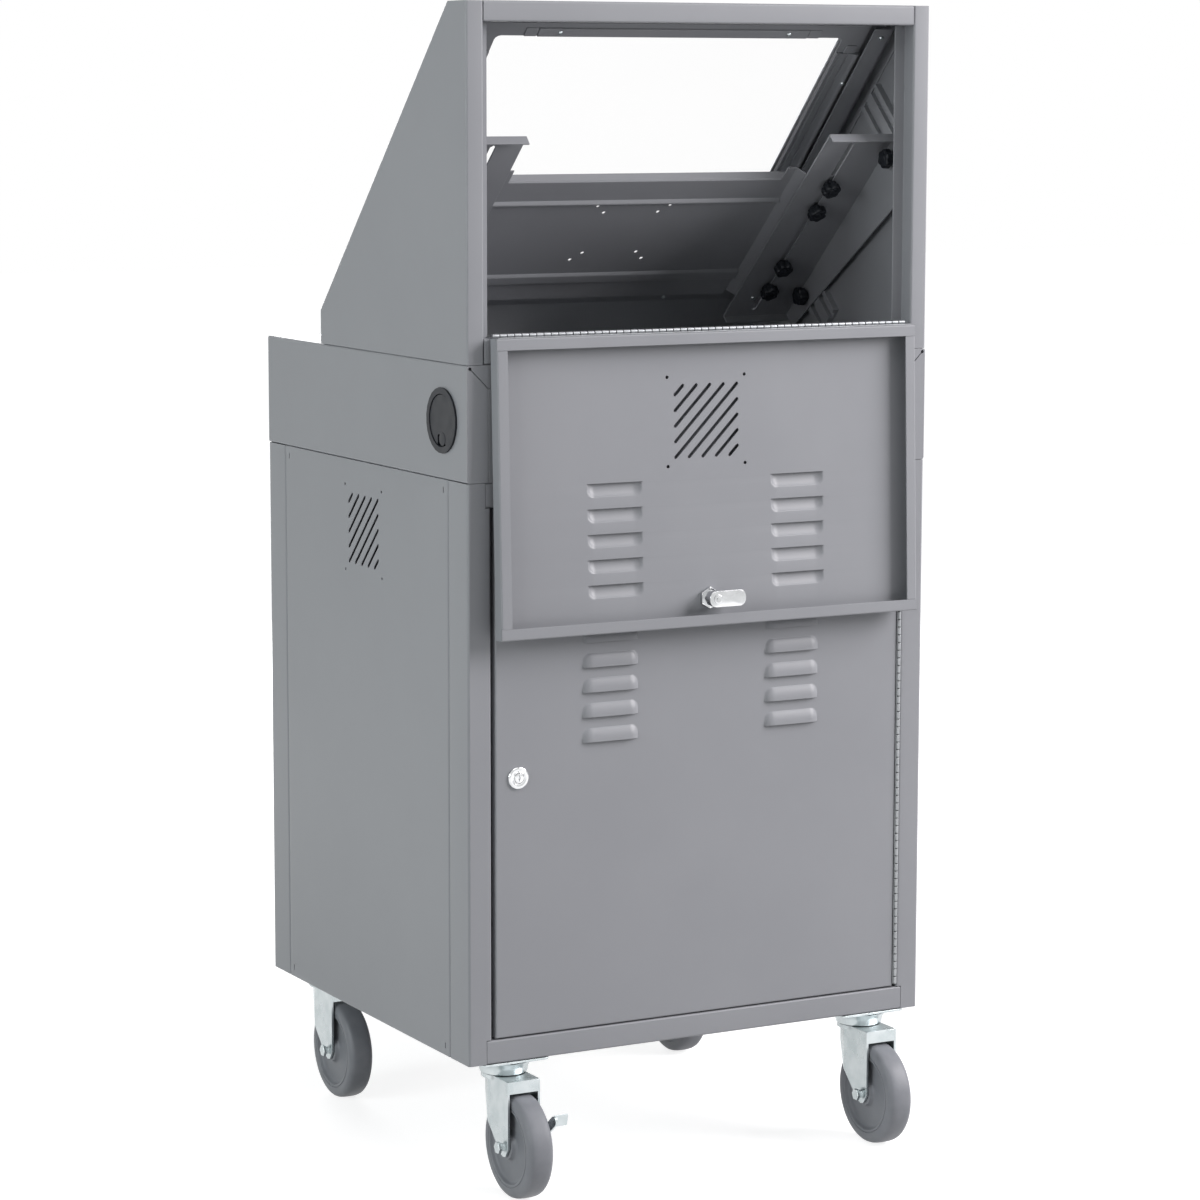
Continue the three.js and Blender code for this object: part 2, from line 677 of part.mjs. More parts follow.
function sidePanel() {
  const end = halfDepth - POST_SIDE - SEAM;
  const inner = halfWidth - EDGE_RETURN;
  const section = folded([[inner, end], [halfWidth, end], [halfWidth, -end], [inner, -end]]);
  const through = (outline) => prism(outline, halfWidth - OVERRUN, halfWidth + OVERRUN, 'x');
  const cuts = ventOutlines([0, bandLevel - SIDE_VENT_DROP]).map(through);
  for (const y of [TIE_SLOT_INSET - end, end - TIE_SLOT_INSET]) {
    for (const z of [baseLevel + TIE_SLOT_INSET, bandLevel - TIE_SLOT_INSET]) {
      const run = TIE_SLOT_LENGTH - TIE_SLOT_WIDTH;
      cuts.push(through(slot([y, z], run, TIE_SLOT_WIDTH, Math.PI / 2, FINE_SLOT_STEPS)));
    }
  }
  return cut(prism(section, baseLevel, bandLevel), cuts);
}

// Band: top and sides from one sheet, with mitred flanges around the front and rear openings
function bandShell() {
  const low = bandLevel + SEAM;
  const foot = halfWidth - EDGE_RETURN;
  const section = folded([[-foot, low], [-halfWidth, low], [-halfWidth, hoodLevel], [halfWidth, hoodLevel],
    [halfWidth, low], [foot, low]]);
  const outline = section.slice(0, section.length / 2);
  const inner = halfWidth - BAND_FLANGE;
  const under = hoodLevel - BAND_FLANGE;
  const hole = block([-inner, inner], [-CABINET_DEPTH, CABINET_DEPTH], [low - OVERRUN, under]);
  let shell = prism(section, -halfDepth, halfDepth, 'y');
  const cuts = [];
  for (const y of [SHEET - halfDepth, halfDepth]) {
    shell = join(shell, cut(prism(outline, y - SHEET, y, 'y'), hole));
    for (const side of [-1, 1]) {
      const middle = (BAND_FLANGE + RELIEF_INSET) / 2;
      const run = (BAND_FLANGE - RELIEF_INSET) * Math.SQRT2;
      const corner = [side * (halfWidth - RELIEF_INSET), hoodLevel - RELIEF_INSET];
      const slit = slot([side * (halfWidth - middle), hoodLevel - middle], run + MITRE_GAP, MITRE_GAP,
        (side * Math.PI) / 4, FINE_SLOT_STEPS);
      cuts.push(prism(slit, y - SHEET - WELD, y + WELD, 'y'));
      cuts.push(prism(circle(corner, RELIEF_RADIUS, SMALL_SIDES), y - SHEET - WELD, y + WELD, 'y'));
    }
  }
  const port = rounded(rectangle([-HOOD_PORT_WIDTH / 2, HOOD_PORT_WIDTH / 2],
    [halfDepth - HOOD_PORT_SETBACK - HOOD_PORT_DEPTH, halfDepth - HOOD_PORT_SETBACK]), WINDOW_CORNER);
  cuts.push(prism(port, hoodLevel - OVERRUN, hoodLevel + OVERRUN));
  const grommet = circle([halfDepth - GROMMET_SETBACK, bandLevel + GROMMET_HEIGHT], GROMMET_HOLE, GROMMET_SIDES,
    Math.PI / GROMMET_SIDES);
  cuts.push(prism(grommet, -CABINET_WIDTH, CABINET_WIDTH, 'x'));
  return cut(shell, cuts);
}

function bandRearPanel() {
  const half = halfWidth - BAND_FLANGE - SEAM;
  const low = bandLevel + SEAM;
  const high = hoodLevel - BAND_FLANGE - SEAM;
  return cut(
    block([-half, half], [halfDepth - EDGE_RETURN, halfDepth], [low, high]),
    block([SHEET - half, half - SHEET], [halfDepth - EDGE_RETURN - OVERRUN, halfDepth - SHEET],
      [low + SHEET, high - SHEET]),
  );
}

function grommetRing() {
  const seat = CAP_THICKNESS / 2 + SEAM;
  return turned([[GROMMET_BORE, GROMMET_FLANGE_HEIGHT], [GROMMET_FLANGE, GROMMET_FLANGE_HEIGHT],
    [GROMMET_FLANGE, 0], [GROMMET_SLEEVE, 0], [GROMMET_SLEEVE, -GROMMET_DEPTH],
    [GROMMET_BORE - CAP_SEAT_WIDTH, -GROMMET_DEPTH], [GROMMET_BORE - CAP_SEAT_WIDTH, -seat],
    [GROMMET_BORE, -seat]], GROMMET_SIDES);
}

function grommetCap() {
  const disc = prism(circle([0, 0], CAP_RADIUS, GROMMET_SIDES), -CAP_THICKNESS / 2, CAP_THICKNESS / 2);
  const notch = rounded(rectangle([-CAP_NOTCH_WIDTH / 2, CAP_NOTCH_WIDTH / 2],
    [-CAP_RADIUS - OVERRUN, CAP_NOTCH_DEPTH - CAP_RADIUS]), CAP_THICKNESS);
  return cut(disc, prism(notch, -CAP_THICKNESS, CAP_THICKNESS));
}

// Keyboard drawer: a tray between two slides, its front flush in the band
const slideLevel = bandLevel + SLIDE_HEIGHT;

function drawerSlide() {
  const web = trayHalfWidth + SLIDE_GAP + SLIDE_CHANNEL_DEPTH;
  const mouth = web - SLIDE_CHANNEL_DEPTH;
  const low = slideLevel - SLIDE_CHANNEL_HALF;
  const high = slideLevel + SLIDE_CHANNEL_HALF;
  const channel = folded([[mouth, high], [web, high], [web, low], [mouth, low]], SLIDE_SHEET);
  const legs = [[innerWidth, low + SLIDE_BRACKET_RISE], [innerWidth, low], [web - WELD, low]];
  const bracket = folded(legs, SLIDE_SHEET);
  const from = SLIDE_SETBACK - halfDepth;
  const to = halfDepth - SLIDE_REAR_GAP;
  return join(...[channel, bracket].map((section) => prism(section, from, to, 'y')));
}

function drawerFront() {
  const half = halfWidth - BAND_FLANGE - DRAWER_CLEARANCE;
  const low = bandLevel + SEAM + DRAWER_CLEARANCE;
  const high = hoodLevel - BAND_FLANGE - FINGER_GAP;
  return cut(
    block([-half, half], [-halfDepth, DOOR_DEPTH - halfDepth], [low, high]),
    block([SHEET - half, half - SHEET], [SHEET - halfDepth, DOOR_DEPTH + OVERRUN - halfDepth],
      [low + SHEET, high - SHEET]),
  );
}

function keyboardDrawer() {
  const floor = bandLevel + TRAY_FLOOR_HEIGHT;
  const back = halfDepth - TRAY_REAR_GAP;
  const box = cut(
    block([-trayHalfWidth, trayHalfWidth], [SHEET - WELD - halfDepth, back], [floor, floor + TRAY_WALL]),
    block([SHEET - trayHalfWidth, trayHalfWidth - SHEET], [SHEET - halfDepth - OVERRUN, back - SHEET],
      [floor + SHEET, floor + TRAY_WALL + OVERRUN]),
  );
  const grip = SLIDE_CHANNEL_HALF - SLIDE_SHEET - SLIDE_PLAY;
  const reach = trayHalfWidth + SLIDE_GAP + SLIDE_CHANNEL_DEPTH - SLIDE_SHEET - SLIDE_PLAY;
  const runners = [-1, 1].map((side) => block([side * (trayHalfWidth - WELD), side * reach],
    [RUNNER_SETBACK - halfDepth, halfDepth - RUNNER_REAR_GAP], [slideLevel - grip, slideLevel + grip]));
  return join(drawerFront(), box, ...runners);
}

// Hood: the sloping window panel sets the frame, X across, Y up the slope and Z outwards
const slopeUp = new THREE.Vector3(0, slopeRun, slopeRise).normalize();
const slopeFoot = new THREE.Vector3(0, hoodFront, hoodLevel + HOOD_FRONT_HEIGHT);
const slopeFrame = basis(X, slopeUp, X.clone().cross(slopeUp)).setPosition(slopeFoot);
const plateCentre = new THREE.Vector3(0, halfDepth - PLATE_SETBACK, hoodLevel + PLATE_RISE);
const plateFrame = new THREE.Matrix4().makeRotationX(PLATE_TILT * degrees).setPosition(plateCentre);

// Where a clamp knob of the bracket's side flange stands on the slope
function onSlope([along, behind]) {
  const point = new THREE.Vector3(0, along, -behind).applyMatrix4(plateFrame);
  return point.applyMatrix4(slopeFrame.clone().invert());
}

function guideRail(knob) {
  const at = onSlope(knob).y;
  const rail = block([guideFace, halfWidth - SHEET + WELD],
    [at - GUIDE_EDGE, at - GUIDE_EDGE + GUIDE_WIDTH], [-GUIDE_END, -GUIDE_START]);
  const grooves = [at, at + GROOVE_SPACING].map((middle) => block([guideFace - OVERRUN, guideFace + GROOVE_DEPTH],
    [middle - GROOVE_WIDTH / 2, middle + GROOVE_WIDTH / 2], [-GUIDE_END - OVERRUN, OVERRUN - GUIDE_START]));
  return moved(cut(rail, grooves), slopeFrame);
}

function hoodSide() {
  const face = halfWidth - HOOD_FLANGE;
  const stop = halfDepth - STOP_DEPTH;
  const low = hoodLevel + SEAM;
  const section = folded([[face - HOOD_LIP, stop], [face, stop], [face, halfDepth], [halfWidth, halfDepth],
    [halfWidth, hoodFront]]);
  const silhouette = [[halfDepth, low], [halfDepth, topLevel], [halfDepth - HOOD_TOP_DEPTH, topLevel],
    [hoodFront, slopeFoot.z], [hoodFront, low]];
  const wall = prism(section, low, topLevel).intersect(prism(silhouette, 0, halfWidth, 'x'));
  const foot = block([halfWidth - HOOD_FOOT, halfWidth - SHEET + WELD],
    [hoodFront + HOOD_FOOT + SHEET, stop - STOP_LIP], [low, low + SHEET]);
  const lipNotch = block([0, face + SHEET - WELD], [stop - SHEET - OVERRUN, stop + WELD],
    [topLevel - HOOD_TOP_FLANGE - SEAM, topLevel + OVERRUN]);
  return join(cut(wall, lipNotch), foot, ...SIDE_KNOBS.map(guideRail));
}

function hoodTop() {
  const half = halfWidth - HOOD_FLANGE - SEAM;
  const front = halfDepth - HOOD_TOP_DEPTH + HOOD_TOP_SETBACK;
  const under = topLevel - HOOD_TOP_FLANGE;
  const section = folded([[front, topLevel - HOOD_TOP_DROP], [front, topLevel], [halfDepth, topLevel],
    [halfDepth, under], [halfDepth - HOOD_TOP_RETURN, under]]);
  const past = halfWidth - HOOD_FLANGE + SHEET + SEAM;
  const wings = block([-innerWidth, innerWidth], [front + BEND + SHEET, halfDepth - SHEET - SEAM],
    [topLevel - SHEET, topLevel]);
  const returns = [-1, 1].map((side) => block([side * half, side * past],
    [halfDepth - STOP_DEPTH - SHEET - SEAM, halfDepth], [topLevel - OVERRUN, topLevel + OVERRUN]));
  return join(prism(section, -half, half, 'x'), cut(wings, returns));
}

function hoodSill() {
  const half = halfWidth - HOOD_FLANGE - SEAM;
  const low = hoodLevel + SEAM;
  const high = upperHingeLevel - HINGE_EDGE;
  const section = folded([[halfDepth - DOOR_DEPTH, high], [halfDepth, high], [halfDepth, low],
    [halfDepth - SILL_RETURN, low]]);
  const onTop = facingRear.clone().setPosition(0, halfDepth + HINGE_STANDOFF, upperHingeLevel);
  return join(prism(section, -half, half, 'x'), moved(upperHinge.frame, onTop));
}

const upperDoorHalf = halfWidth - UPPER_DOOR_INSET;
const upperHinge = pianoHinge(2 * (upperDoorHalf - HINGE_MARGIN));

function upperDoor() {
  const pan = doorPan([-upperDoorHalf, upperDoorHalf], [HINGE_EDGE, UPPER_DOOR_LENGTH]);
  const leaf = moved(upperHinge.door, new THREE.Matrix4().makeTranslation(0, 0, HINGE_STANDOFF));
  const locked = withLock(join(pan, leaf), [0, UPPER_LOCK_CENTRE]);
  const vents = ventOutlines([0, UPPER_VENT_CENTRE], -1).map((outline) => prism(outline, -SHEET - OVERRUN, OVERRUN));
  return cut(withLouvers(locked, upperLouverTop), vents);
}

const upperLouverTop = UPPER_LOUVER_TOP + LOUVER_HEIGHT + (LOUVER_COUNT - 1) * LOUVER_PITCH;

function windowPanel() {
  const low = hoodLevel + SEAM;
  const crest = halfDepth - HOOD_TOP_DEPTH;
  const section = folded([[hoodFront + HOOD_FOOT, low], [hoodFront, low], [hoodFront, slopeFoot.z],
    [crest, topLevel], [crest + HOOD_TOP_SETBACK - SEAM, topLevel]]);
  const corners = rectangle([-windowWidth / 2, windowWidth / 2], [WINDOW_BOTTOM, windowTop]);
  const opening = rounded(corners, WINDOW_CORNER);
  const flanges = [-1, 1].map((side) => block([side * innerWidth, side * (innerWidth - SHEET)],
    [PANEL_FLANGE_INSET, slopeLength - PANEL_FLANGE_INSET], [-PANEL_SIDE_FLANGE, -SHEET / 2]));
  const sheet = prism(section, -innerWidth, innerWidth, 'x');
  return cut(join(sheet, ...flanges.map((one) => moved(one, slopeFrame))),
    moved(prism(opening, -SHEET - OVERRUN, OVERRUN), slopeFrame));
}

const paneHalf = windowWidth / 2 + PANE_OVERLAP;
const paneSpan = [WINDOW_BOTTOM - PANE_OVERLAP, windowTop + PANE_OVERLAP];
const paneTop = -SHEET - SEAM;
const paneBottom = paneTop - PANE_THICKNESS;

function windowPane() {
  return block([-paneHalf, paneHalf], paneSpan, [paneBottom, paneTop]);
}

function windowRetainer() {
  const back = paneBottom - SEAM - RETAINER_LIP;
  const outer = windowWidth / 2 + RETAINER_SIDE;
  const pocket = block([-paneHalf - SEAM, paneHalf + SEAM], [paneSpan[0] - SEAM, paneSpan[1] + SEAM],
    [back + RETAINER_LIP, OVERRUN]);
  const sight = rounded(rectangle([-windowWidth / 2 - SHEET, windowWidth / 2 + SHEET],
    [WINDOW_BOTTOM - SHEET, windowTop + SHEET]), WINDOW_CORNER);
  const ends = [WINDOW_BOTTOM - RETAINER_END, windowTop + RETAINER_END];
  return cut(block([-outer, outer], ends, [back, paneTop]), pocket, prism(sight, back - OVERRUN, OVERRUN));
}

// Monitor plate: beaded sheet with mounting holes, its ends jogged back against the brackets
function monitorPlate() {
  const bead = (top, bottom) => [[top, 0], [top - BEAD_SLOPE, -BEAD_RISE], [bottom + BEAD_SLOPE, -BEAD_RISE],
    [bottom, 0]];
  const corners = [[PLATE_TOP, PLATE_FLANGE], [PLATE_TOP, 0], ...bead(UPPER_BEAD_TOP, UPPER_BEAD_BOTTOM),
    ...bead(-LOWER_BEAD_TOP, -LOWER_BEAD_BOTTOM), [-PLATE_BOTTOM, 0], [-PLATE_BOTTOM, PLATE_FLANGE]];
  const down = folded(corners, SHEET, BEND / 2, BEAD_STEPS);
  const back = SEAM - BRACKET_OFFSET;
  const plateHalfWidth = bracketOuter - PLATE_INSET;
  const plateEnd = bracketOuter - PLATE_END_INSET;
  const pieces = [prism(down, -plateHalfWidth, plateHalfWidth, 'x')];
  for (const side of [-1, 1]) {
    const path = [[plateEnd, back], [plateHalfWidth + PLATE_JOG, back], [plateHalfWidth, 0],
      [plateHalfWidth - PLATE_JOG, 0]];
    const across = side > 0 ? path : path.map(([x, z]) => [-x, z]).reverse();
    pieces.push(prism(folded(across), -PLATE_END_BOTTOM, PLATE_END_TOP, 'y'));
  }
  const holes = MONITOR_PATTERNS.flatMap((size) => [-1, 1].flatMap((across) => [-1, 1].map((up) => (
    circle([(across * size) / 2, (up * size) / 2], MONITOR_HOLE / 2, HEX_SIDES)))));
  const knobHoles = PLATE_KNOBS.flatMap((y) => [-1, 1].map((side) => (
    circle([side * slotLine, y], KNOB_HOLE / 2, HEX_SIDES))));
  const through = [...holes, ...knobHoles].map((outline) => prism(outline, -BRACKET_OFFSET - OVERRUN, OVERRUN));
  return cut(join(...pieces), through);
}

function monitorBracket() {
  const front = -BRACKET_OFFSET;
  const rear = front - BRACKET_SHEET;
  const across = [bracketOuter - BRACKET_WIDTH, bracketOuter];
  const lip = (y) => block(across, [y, y + BRACKET_SHEET], [rear - BRACKET_END_LIP, front]);
  const flange = prism([[-BRACKET_BOTTOM, front], [BRACKET_TOP, front], [BRACKET_TOP, -SIDE_FLANGE_TOP_DEPTH],
    [SIDE_FLANGE_CORNER, -SIDE_FLANGE_CORNER_DEPTH], [-BRACKET_BOTTOM, -SIDE_FLANGE_BOTTOM_DEPTH]],
  bracketOuter - BRACKET_SHEET, bracketOuter, 'x');
  const run = BRACKET_SLOT_TOP + BRACKET_SLOT_BOTTOM - BRACKET_SLOT_WIDTH;
  const middle = (BRACKET_SLOT_TOP - BRACKET_SLOT_BOTTOM) / 2;
  const outline = slot([slotLine, middle], run, BRACKET_SLOT_WIDTH, Math.PI / 2);
  const track = prism(outline, rear - OVERRUN, front + OVERRUN);
  const holes = SIDE_KNOBS.map(([along, behind]) => prism(circle([along, -behind], KNOB_HOLE / 2, SMALL_SIDES),
    bracketOuter - OVERRUN, bracketOuter + OVERRUN, 'x'));
  return cut(join(block(across, [-BRACKET_BOTTOM, BRACKET_TOP], [rear, front]), flange,
    lip(-BRACKET_BOTTOM), lip(BRACKET_TOP - BRACKET_SHEET)), track, holes);
}

// Clamp knob: a lobed head over a hub, and the stud that it draws tight
function clampKnob() {
  const lobes = Array.from({ length: 2 * KNOB_LOBES }, (_, i) => {
    const radius = i % 2 ? KNOB_WAIST : KNOB_RADIUS;
    return [radius * Math.cos((i * Math.PI) / KNOB_LOBES), radius * Math.sin((i * Math.PI) / KNOB_LOBES)];
  });
  return join(
    prism(lobes, KNOB_HUB_HEIGHT - WELD, KNOB_HUB_HEIGHT + KNOB_HEIGHT),
    prism(circle([0, 0], KNOB_HUB_RADIUS, HEX_SIDES), 0, KNOB_HUB_HEIGHT),
    prism(circle([0, 0], KNOB_STUD_RADIUS, HEX_SIDES), -KNOB_STUD_LENGTH, WELD),
  );
}

// Caster, drawn about its swivel axis with the floor at Z zero and the wheel trailing on +Y
const axleHeight = WHEEL_RADIUS * Math.cos(Math.PI / WHEEL_SIDES);
const plateUnder = CASTER_HEIGHT - SEAM - PLATE_THICKNESS;
const raceUnder = plateUnder - RACE_HEIGHT;
const forkTop = raceUnder - SEAM;

function casterPlate() {
  const corners = rectangle([-PLATE_LENGTH / 2, PLATE_LENGTH / 2], [-PLATE_WIDTH / 2, PLATE_WIDTH / 2]);
  const plate = prism(rounded(corners, PLATE_THICKNESS, PLATE_CORNER_STEPS),
    plateUnder, plateUnder + PLATE_THICKNESS);
  const race = turned([[0, plateUnder + WELD], [RACE_TOP_RADIUS, plateUnder + WELD], [RACE_TOP_RADIUS, plateUnder],
    [RACE_BOTTOM_RADIUS, raceUnder], [0, raceUnder]], RACE_SIDES);
  return cut(join(plate, race), prism(circle([0, 0], KINGPIN_BORE, SMALL_SIDES), 0, CASTER_HEIGHT + OVERRUN));
}

function casterFork() {
  const rear = TRAIL + FORK_REAR;
  const tip = axleHeight - FORK_TIP;
  const side = [[rear, forkTop], [rear, axleHeight], [TRAIL + FORK_TIP / 2, tip + FORK_SHEET / 2],
    [TRAIL, tip], [TRAIL - FORK_TIP * Math.SQRT1_2, axleHeight - FORK_TIP * Math.SQRT1_2],
    [TRAIL - FORK_KNEE_FORWARD, axleHeight + FORK_KNEE_RISE], [-FORK_SHOULDER, axleHeight + FORK_HIP_RISE],
    [-FORK_SHOULDER, forkTop]];
  const plan = [[FORK_HALF_WIDTH, rear], [FORK_HALF_WIDTH, 0], [FORK_HALF_WIDTH - FORK_SHOULDER_IN, -FORK_SHOULDER]];
  const legs = [plan, plan.map(([x, y]) => [-x, y]).reverse()].map((path) => (
    prism(folded(path, FORK_SHEET), 0, forkTop).intersect(prism(side, -CABINET_WIDTH, CABINET_WIDTH, 'x'))));
  const across = [-FORK_HALF_WIDTH, FORK_HALF_WIDTH];
  const crown = join(prism(circle([0, 0], FORK_CROWN_RADIUS, RACE_SIDES), forkTop - FORK_CROWN_DEPTH, forkTop),
    block(across, [0, rear], [forkTop - FORK_SHEET, forkTop]),
    block(across, [rear - FORK_SHEET, rear], [forkTop - FORK_SKIRT, forkTop]));
  const kingpin = prism(circle([0, 0], KINGPIN_RADIUS, SMALL_SIDES), forkTop - WELD, plateUnder);
  const collarEnd = FORK_HALF_WIDTH + BOLT_COLLAR;
  const bolt = (radius, reach, sides) => prism(circle([TRAIL, axleHeight], radius, sides), -reach, reach, 'x');
  const axle = bolt(AXLE_RADIUS, collarEnd, SMALL_SIDES);
  const collars = cut(bolt(BOLT_COLLAR_RADIUS, collarEnd + WELD, SMALL_SIDES), block([-FORK_HALF_WIDTH + WELD,
    FORK_HALF_WIDTH - WELD], [-CABINET_DEPTH, CABINET_DEPTH], [0, CASTER_HEIGHT]));
  const heads = cut(bolt(BOLT_HEAD_RADIUS, collarEnd + BOLT_HEAD, HEX_SIDES), block([-collarEnd, collarEnd],
    [-CABINET_DEPTH, CABINET_DEPTH], [0, CASTER_HEIGHT]));
  return join(...legs, crown, kingpin, axle, collars, heads);
}

// Drawn about its axle, along Z
function casterWheel() {
  const half = [[AXLE_BORE, WHEEL_HUB_HALF], [WHEEL_HUB_RADIUS, WHEEL_HUB_HALF], [WHEEL_HUB_FOOT, WHEEL_WEB_HALF],
    [WHEEL_WEB_RADIUS, WHEEL_WEB_HALF], [WHEEL_RIM_RADIUS, WHEEL_HALF_WIDTH], [WHEEL_SHOULDER, WHEEL_HALF_WIDTH],
    [WHEEL_RADIUS, WHEEL_TREAD_HALF]];
  return turned([...half, ...half.map(([radius, x]) => [radius, -x]).reverse()], WHEEL_SIDES);
}

// Brake lever on the fork's inner leg, drawn about the axle in the Y and Z directions
function brakeLever() {
  const near = -FORK_HALF_WIDTH - (BOLT_COLLAR - LEVER_THICKNESS) / 2;
  const far = near - LEVER_THICKNESS;
  const reach = Math.hypot(LEVER_REACH, LEVER_RISE);
  const angle = Math.atan2(LEVER_RISE, LEVER_REACH);
  const arm = slot([LEVER_REACH / 2, LEVER_RISE / 2], reach, LEVER_WIDTH, angle, LEVER_STEPS);
  const pad = slot([LEVER_REACH, LEVER_RISE], LEVER_PAD_LENGTH, LEVER_THICKNESS, angle + LEVER_PAD_TILT * degrees);
  const hub = prism(circle([0, 0], LEVER_HUB, SMALL_SIDES), far, near, 'x');
  const hole = prism(circle([0, 0], LEVER_HOLE, SMALL_SIDES), far - OVERRUN, near + OVERRUN, 'x');
  return cut(join(prism(arm, far, near, 'x'), hub, prism(pad, far - LEVER_PAD_WIDTH, near, 'x')), hole);
}

// Assembly
const cabinet = new THREE.Group();
cabinet.name = 'mobile_computer_cabinet';

function mirrored(object) {
  object.scale.x = -1;
  return object;
}

function halfTurned(object) {
  object.rotation.z = Math.PI;
  return object;
}

cabinet.add(mesh('base_pan', tray(baseLevel, 1), greyPaint));
cabinet.add(mesh('deck', deck(), greyPaint));
cabinet.add(mesh('shelf', shelf(), greyPaint));
cabinet.add(mesh('post_rear_right', cornerPost(false), greyPaint));
cabinet.add(mirrored(mesh('post_rear_left', cornerPost(true), greyPaint)));
cabinet.add(halfTurned(mesh('post_front_left', cornerPost(false), greyPaint)));
cabinet.add(halfTurned(mirrored(mesh('post_front_right', cornerPost(true), greyPaint))));
cabinet.add(mesh('side_panel_right', sidePanel(), greyPaint));
cabinet.add(mirrored(mesh('side_panel_left', sidePanel(), greyPaint)));
cabinet.add(mesh('band_shell', bandShell(), greyPaint));
cabinet.add(mesh('band_rear_panel', bandRearPanel(), greyPaint));
cabinet.add(mesh('drawer_slide_right', drawerSlide(), zincPlate));
cabinet.add(mirrored(mesh('drawer_slide_left', drawerSlide(), zincPlate)));
cabinet.add(mesh('hood_side_right', hoodSide(), greyPaint));
cabinet.add(mirrored(mesh('hood_side_left', hoodSide(), greyPaint)));
cabinet.add(mesh('hood_top', hoodTop(), greyPaint));
cabinet.add(mesh('hood_sill', hoodSill(), greyPaint));
cabinet.add(mesh('window_panel', windowPanel(), greyPaint));
cabinet.add(pivot('keyboard_drawer_slide', 0, 0, 0, mesh('keyboard_drawer', keyboardDrawer(), greyPaint)));

// The clear pane and its frame lie under the sloping panel
const window = new THREE.Group();
window.applyMatrix4(slopeFrame);
window.add(mesh('window_pane', windowPane(), clearPlastic), mesh('window_retainer', windowRetainer(), greyPaint));
cabinet.add(window);

// Cable grommets through the band's sides
for (const [side, word, turn] of [[1, 'right', 1], [-1, 'left', -1]]) {
  const ring = mesh(`grommet_ring_${word}`, grommetRing(), blackPlastic);
  const cap = mesh(`grommet_cap_${word}`, grommetCap(), blackPlastic);
  const grommet = pivot(`grommet_${word}`, side * (halfWidth + SEAM), halfDepth - GROMMET_SETBACK,
    bandLevel + GROMMET_HEIGHT, ring, cap);
  cabinet.add(stoodUp(grommet, basis(Y.clone().multiplyScalar(turn), Z, X.clone().multiplyScalar(turn))));
}

// Doors, each hung on the line of its hinge pin
function lockAt(name, [x, y], turn) {
  const plug = placed(lockPlug(name), x, y, 0);
  plug.rotation.z = turn;
  return plug;
}

function lowerDoorway(word, louvered, facing, x, y) {
  const doorway = pivot(`${word}_door_hinge`, x, y, baseLevel,
    placed(mesh(`${word}_door`, lowerDoor(louvered), greyPaint), -lowerPin, 0, -HINGE_STANDOFF),
    placed(lockAt(`${word}_lock`, lowerLock, -Math.PI / 2), lowerLock[0] - lowerPin, lowerLock[1], -HINGE_STANDOFF));
  return stoodUp(doorway, facing);
}

cabinet.add(lowerDoorway('rear_lower', true, facingRear, -lowerPin, halfDepth + HINGE_STANDOFF));
cabinet.add(lowerDoorway('front', false, facingFront, lowerPin, -halfDepth - HINGE_STANDOFF));

const upperDoorway = pivot('rear_upper_door_hinge', 0, halfDepth + HINGE_STANDOFF, upperHingeLevel);
const hanging = pivot('rear_upper_door_swing', 0, 0, 0,
  placed(mesh('rear_upper_door', upperDoor(), greyPaint), 0, 0, -HINGE_STANDOFF),
  placed(lockAt('rear_upper_lock', [0, UPPER_LOCK_CENTRE], 0), 0, UPPER_LOCK_CENTRE, -HINGE_STANDOFF));
hanging.rotation.x = Math.PI - UPPER_DOOR_TILT * degrees;
upperDoorway.add(hanging);
cabinet.add(stoodUp(upperDoorway, facingRear));

// Monitor mount: brackets on the guide rails, the plate between them, and twelve clamp knobs
const mount = new THREE.Group();
mount.name = 'monitor_mount';
mount.applyMatrix4(plateFrame);
mount.add(mesh('monitor_bracket_right', monitorBracket(), greyPaint));
mount.add(mirrored(mesh('monitor_bracket_left', monitorBracket(), greyPaint)));
mount.add(mesh('monitor_plate', monitorPlate(), greyPaint));
for (const [side, word] of [[1, 'right'], [-1, 'left']]) {
  PLATE_KNOBS.forEach((y, i) => {
    const knob = mesh(`plate_knob_${word}_${i + 1}`, clampKnob(), blackPlastic);
    knob.rotation.x = Math.PI;
    mount.add(placed(knob, side * slotLine, y, -BRACKET_OFFSET - BRACKET_SHEET - SEAM));
  });
  SIDE_KNOBS.forEach(([along, behind], i) => {
    const knob = mesh(`side_knob_${word}_${i + 1}`, clampKnob(), blackPlastic);
    knob.rotation.y = (-side * Math.PI) / 2;
    mount.add(placed(knob, side * (bracketOuter - BRACKET_SHEET - SEAM), along, -behind));
  });
}
cabinet.add(mount);

// Four swivel casters, the brakes on the rear right and the front left
for (const [x, across] of [[1, 'right'], [-1, 'left']]) {
  for (const [y, along] of [[1, 'rear'], [-1, 'front']]) {
    const word = `${along}_${across}`;
    const wheel = placed(mesh(`wheel_${word}`, casterWheel(), greyRubber), 0, TRAIL, axleHeight);
    wheel.rotation.y = Math.PI / 2;
    const swivel = pivot(`caster_${word}`, x * (halfWidth - SWIVEL_INSET), y * (halfDepth - SWIVEL_SETBACK), 0,
      mesh(`caster_plate_${word}`, casterPlate(), zincPlate), mesh(`fork_${word}`, casterFork(), zincPlate), wheel);
    if (x === y) {
      const lever = placed(mesh(`brake_lever_${word}`, brakeLever(), zincPlate), 0, TRAIL, axleHeight);
      swivel.add(x > 0 ? lever : mirrored(lever));
    }
    cabinet.add(swivel);
  }
}

// The origin is on the floor, under the middle of the whole cabinet
const bounds = new THREE.Box3().setFromObject(cabinet, true);
cabinet.children.forEach((child) => {
  child.position.y -= (bounds.min.y + bounds.max.y) / 2;
});

export default cabinet;
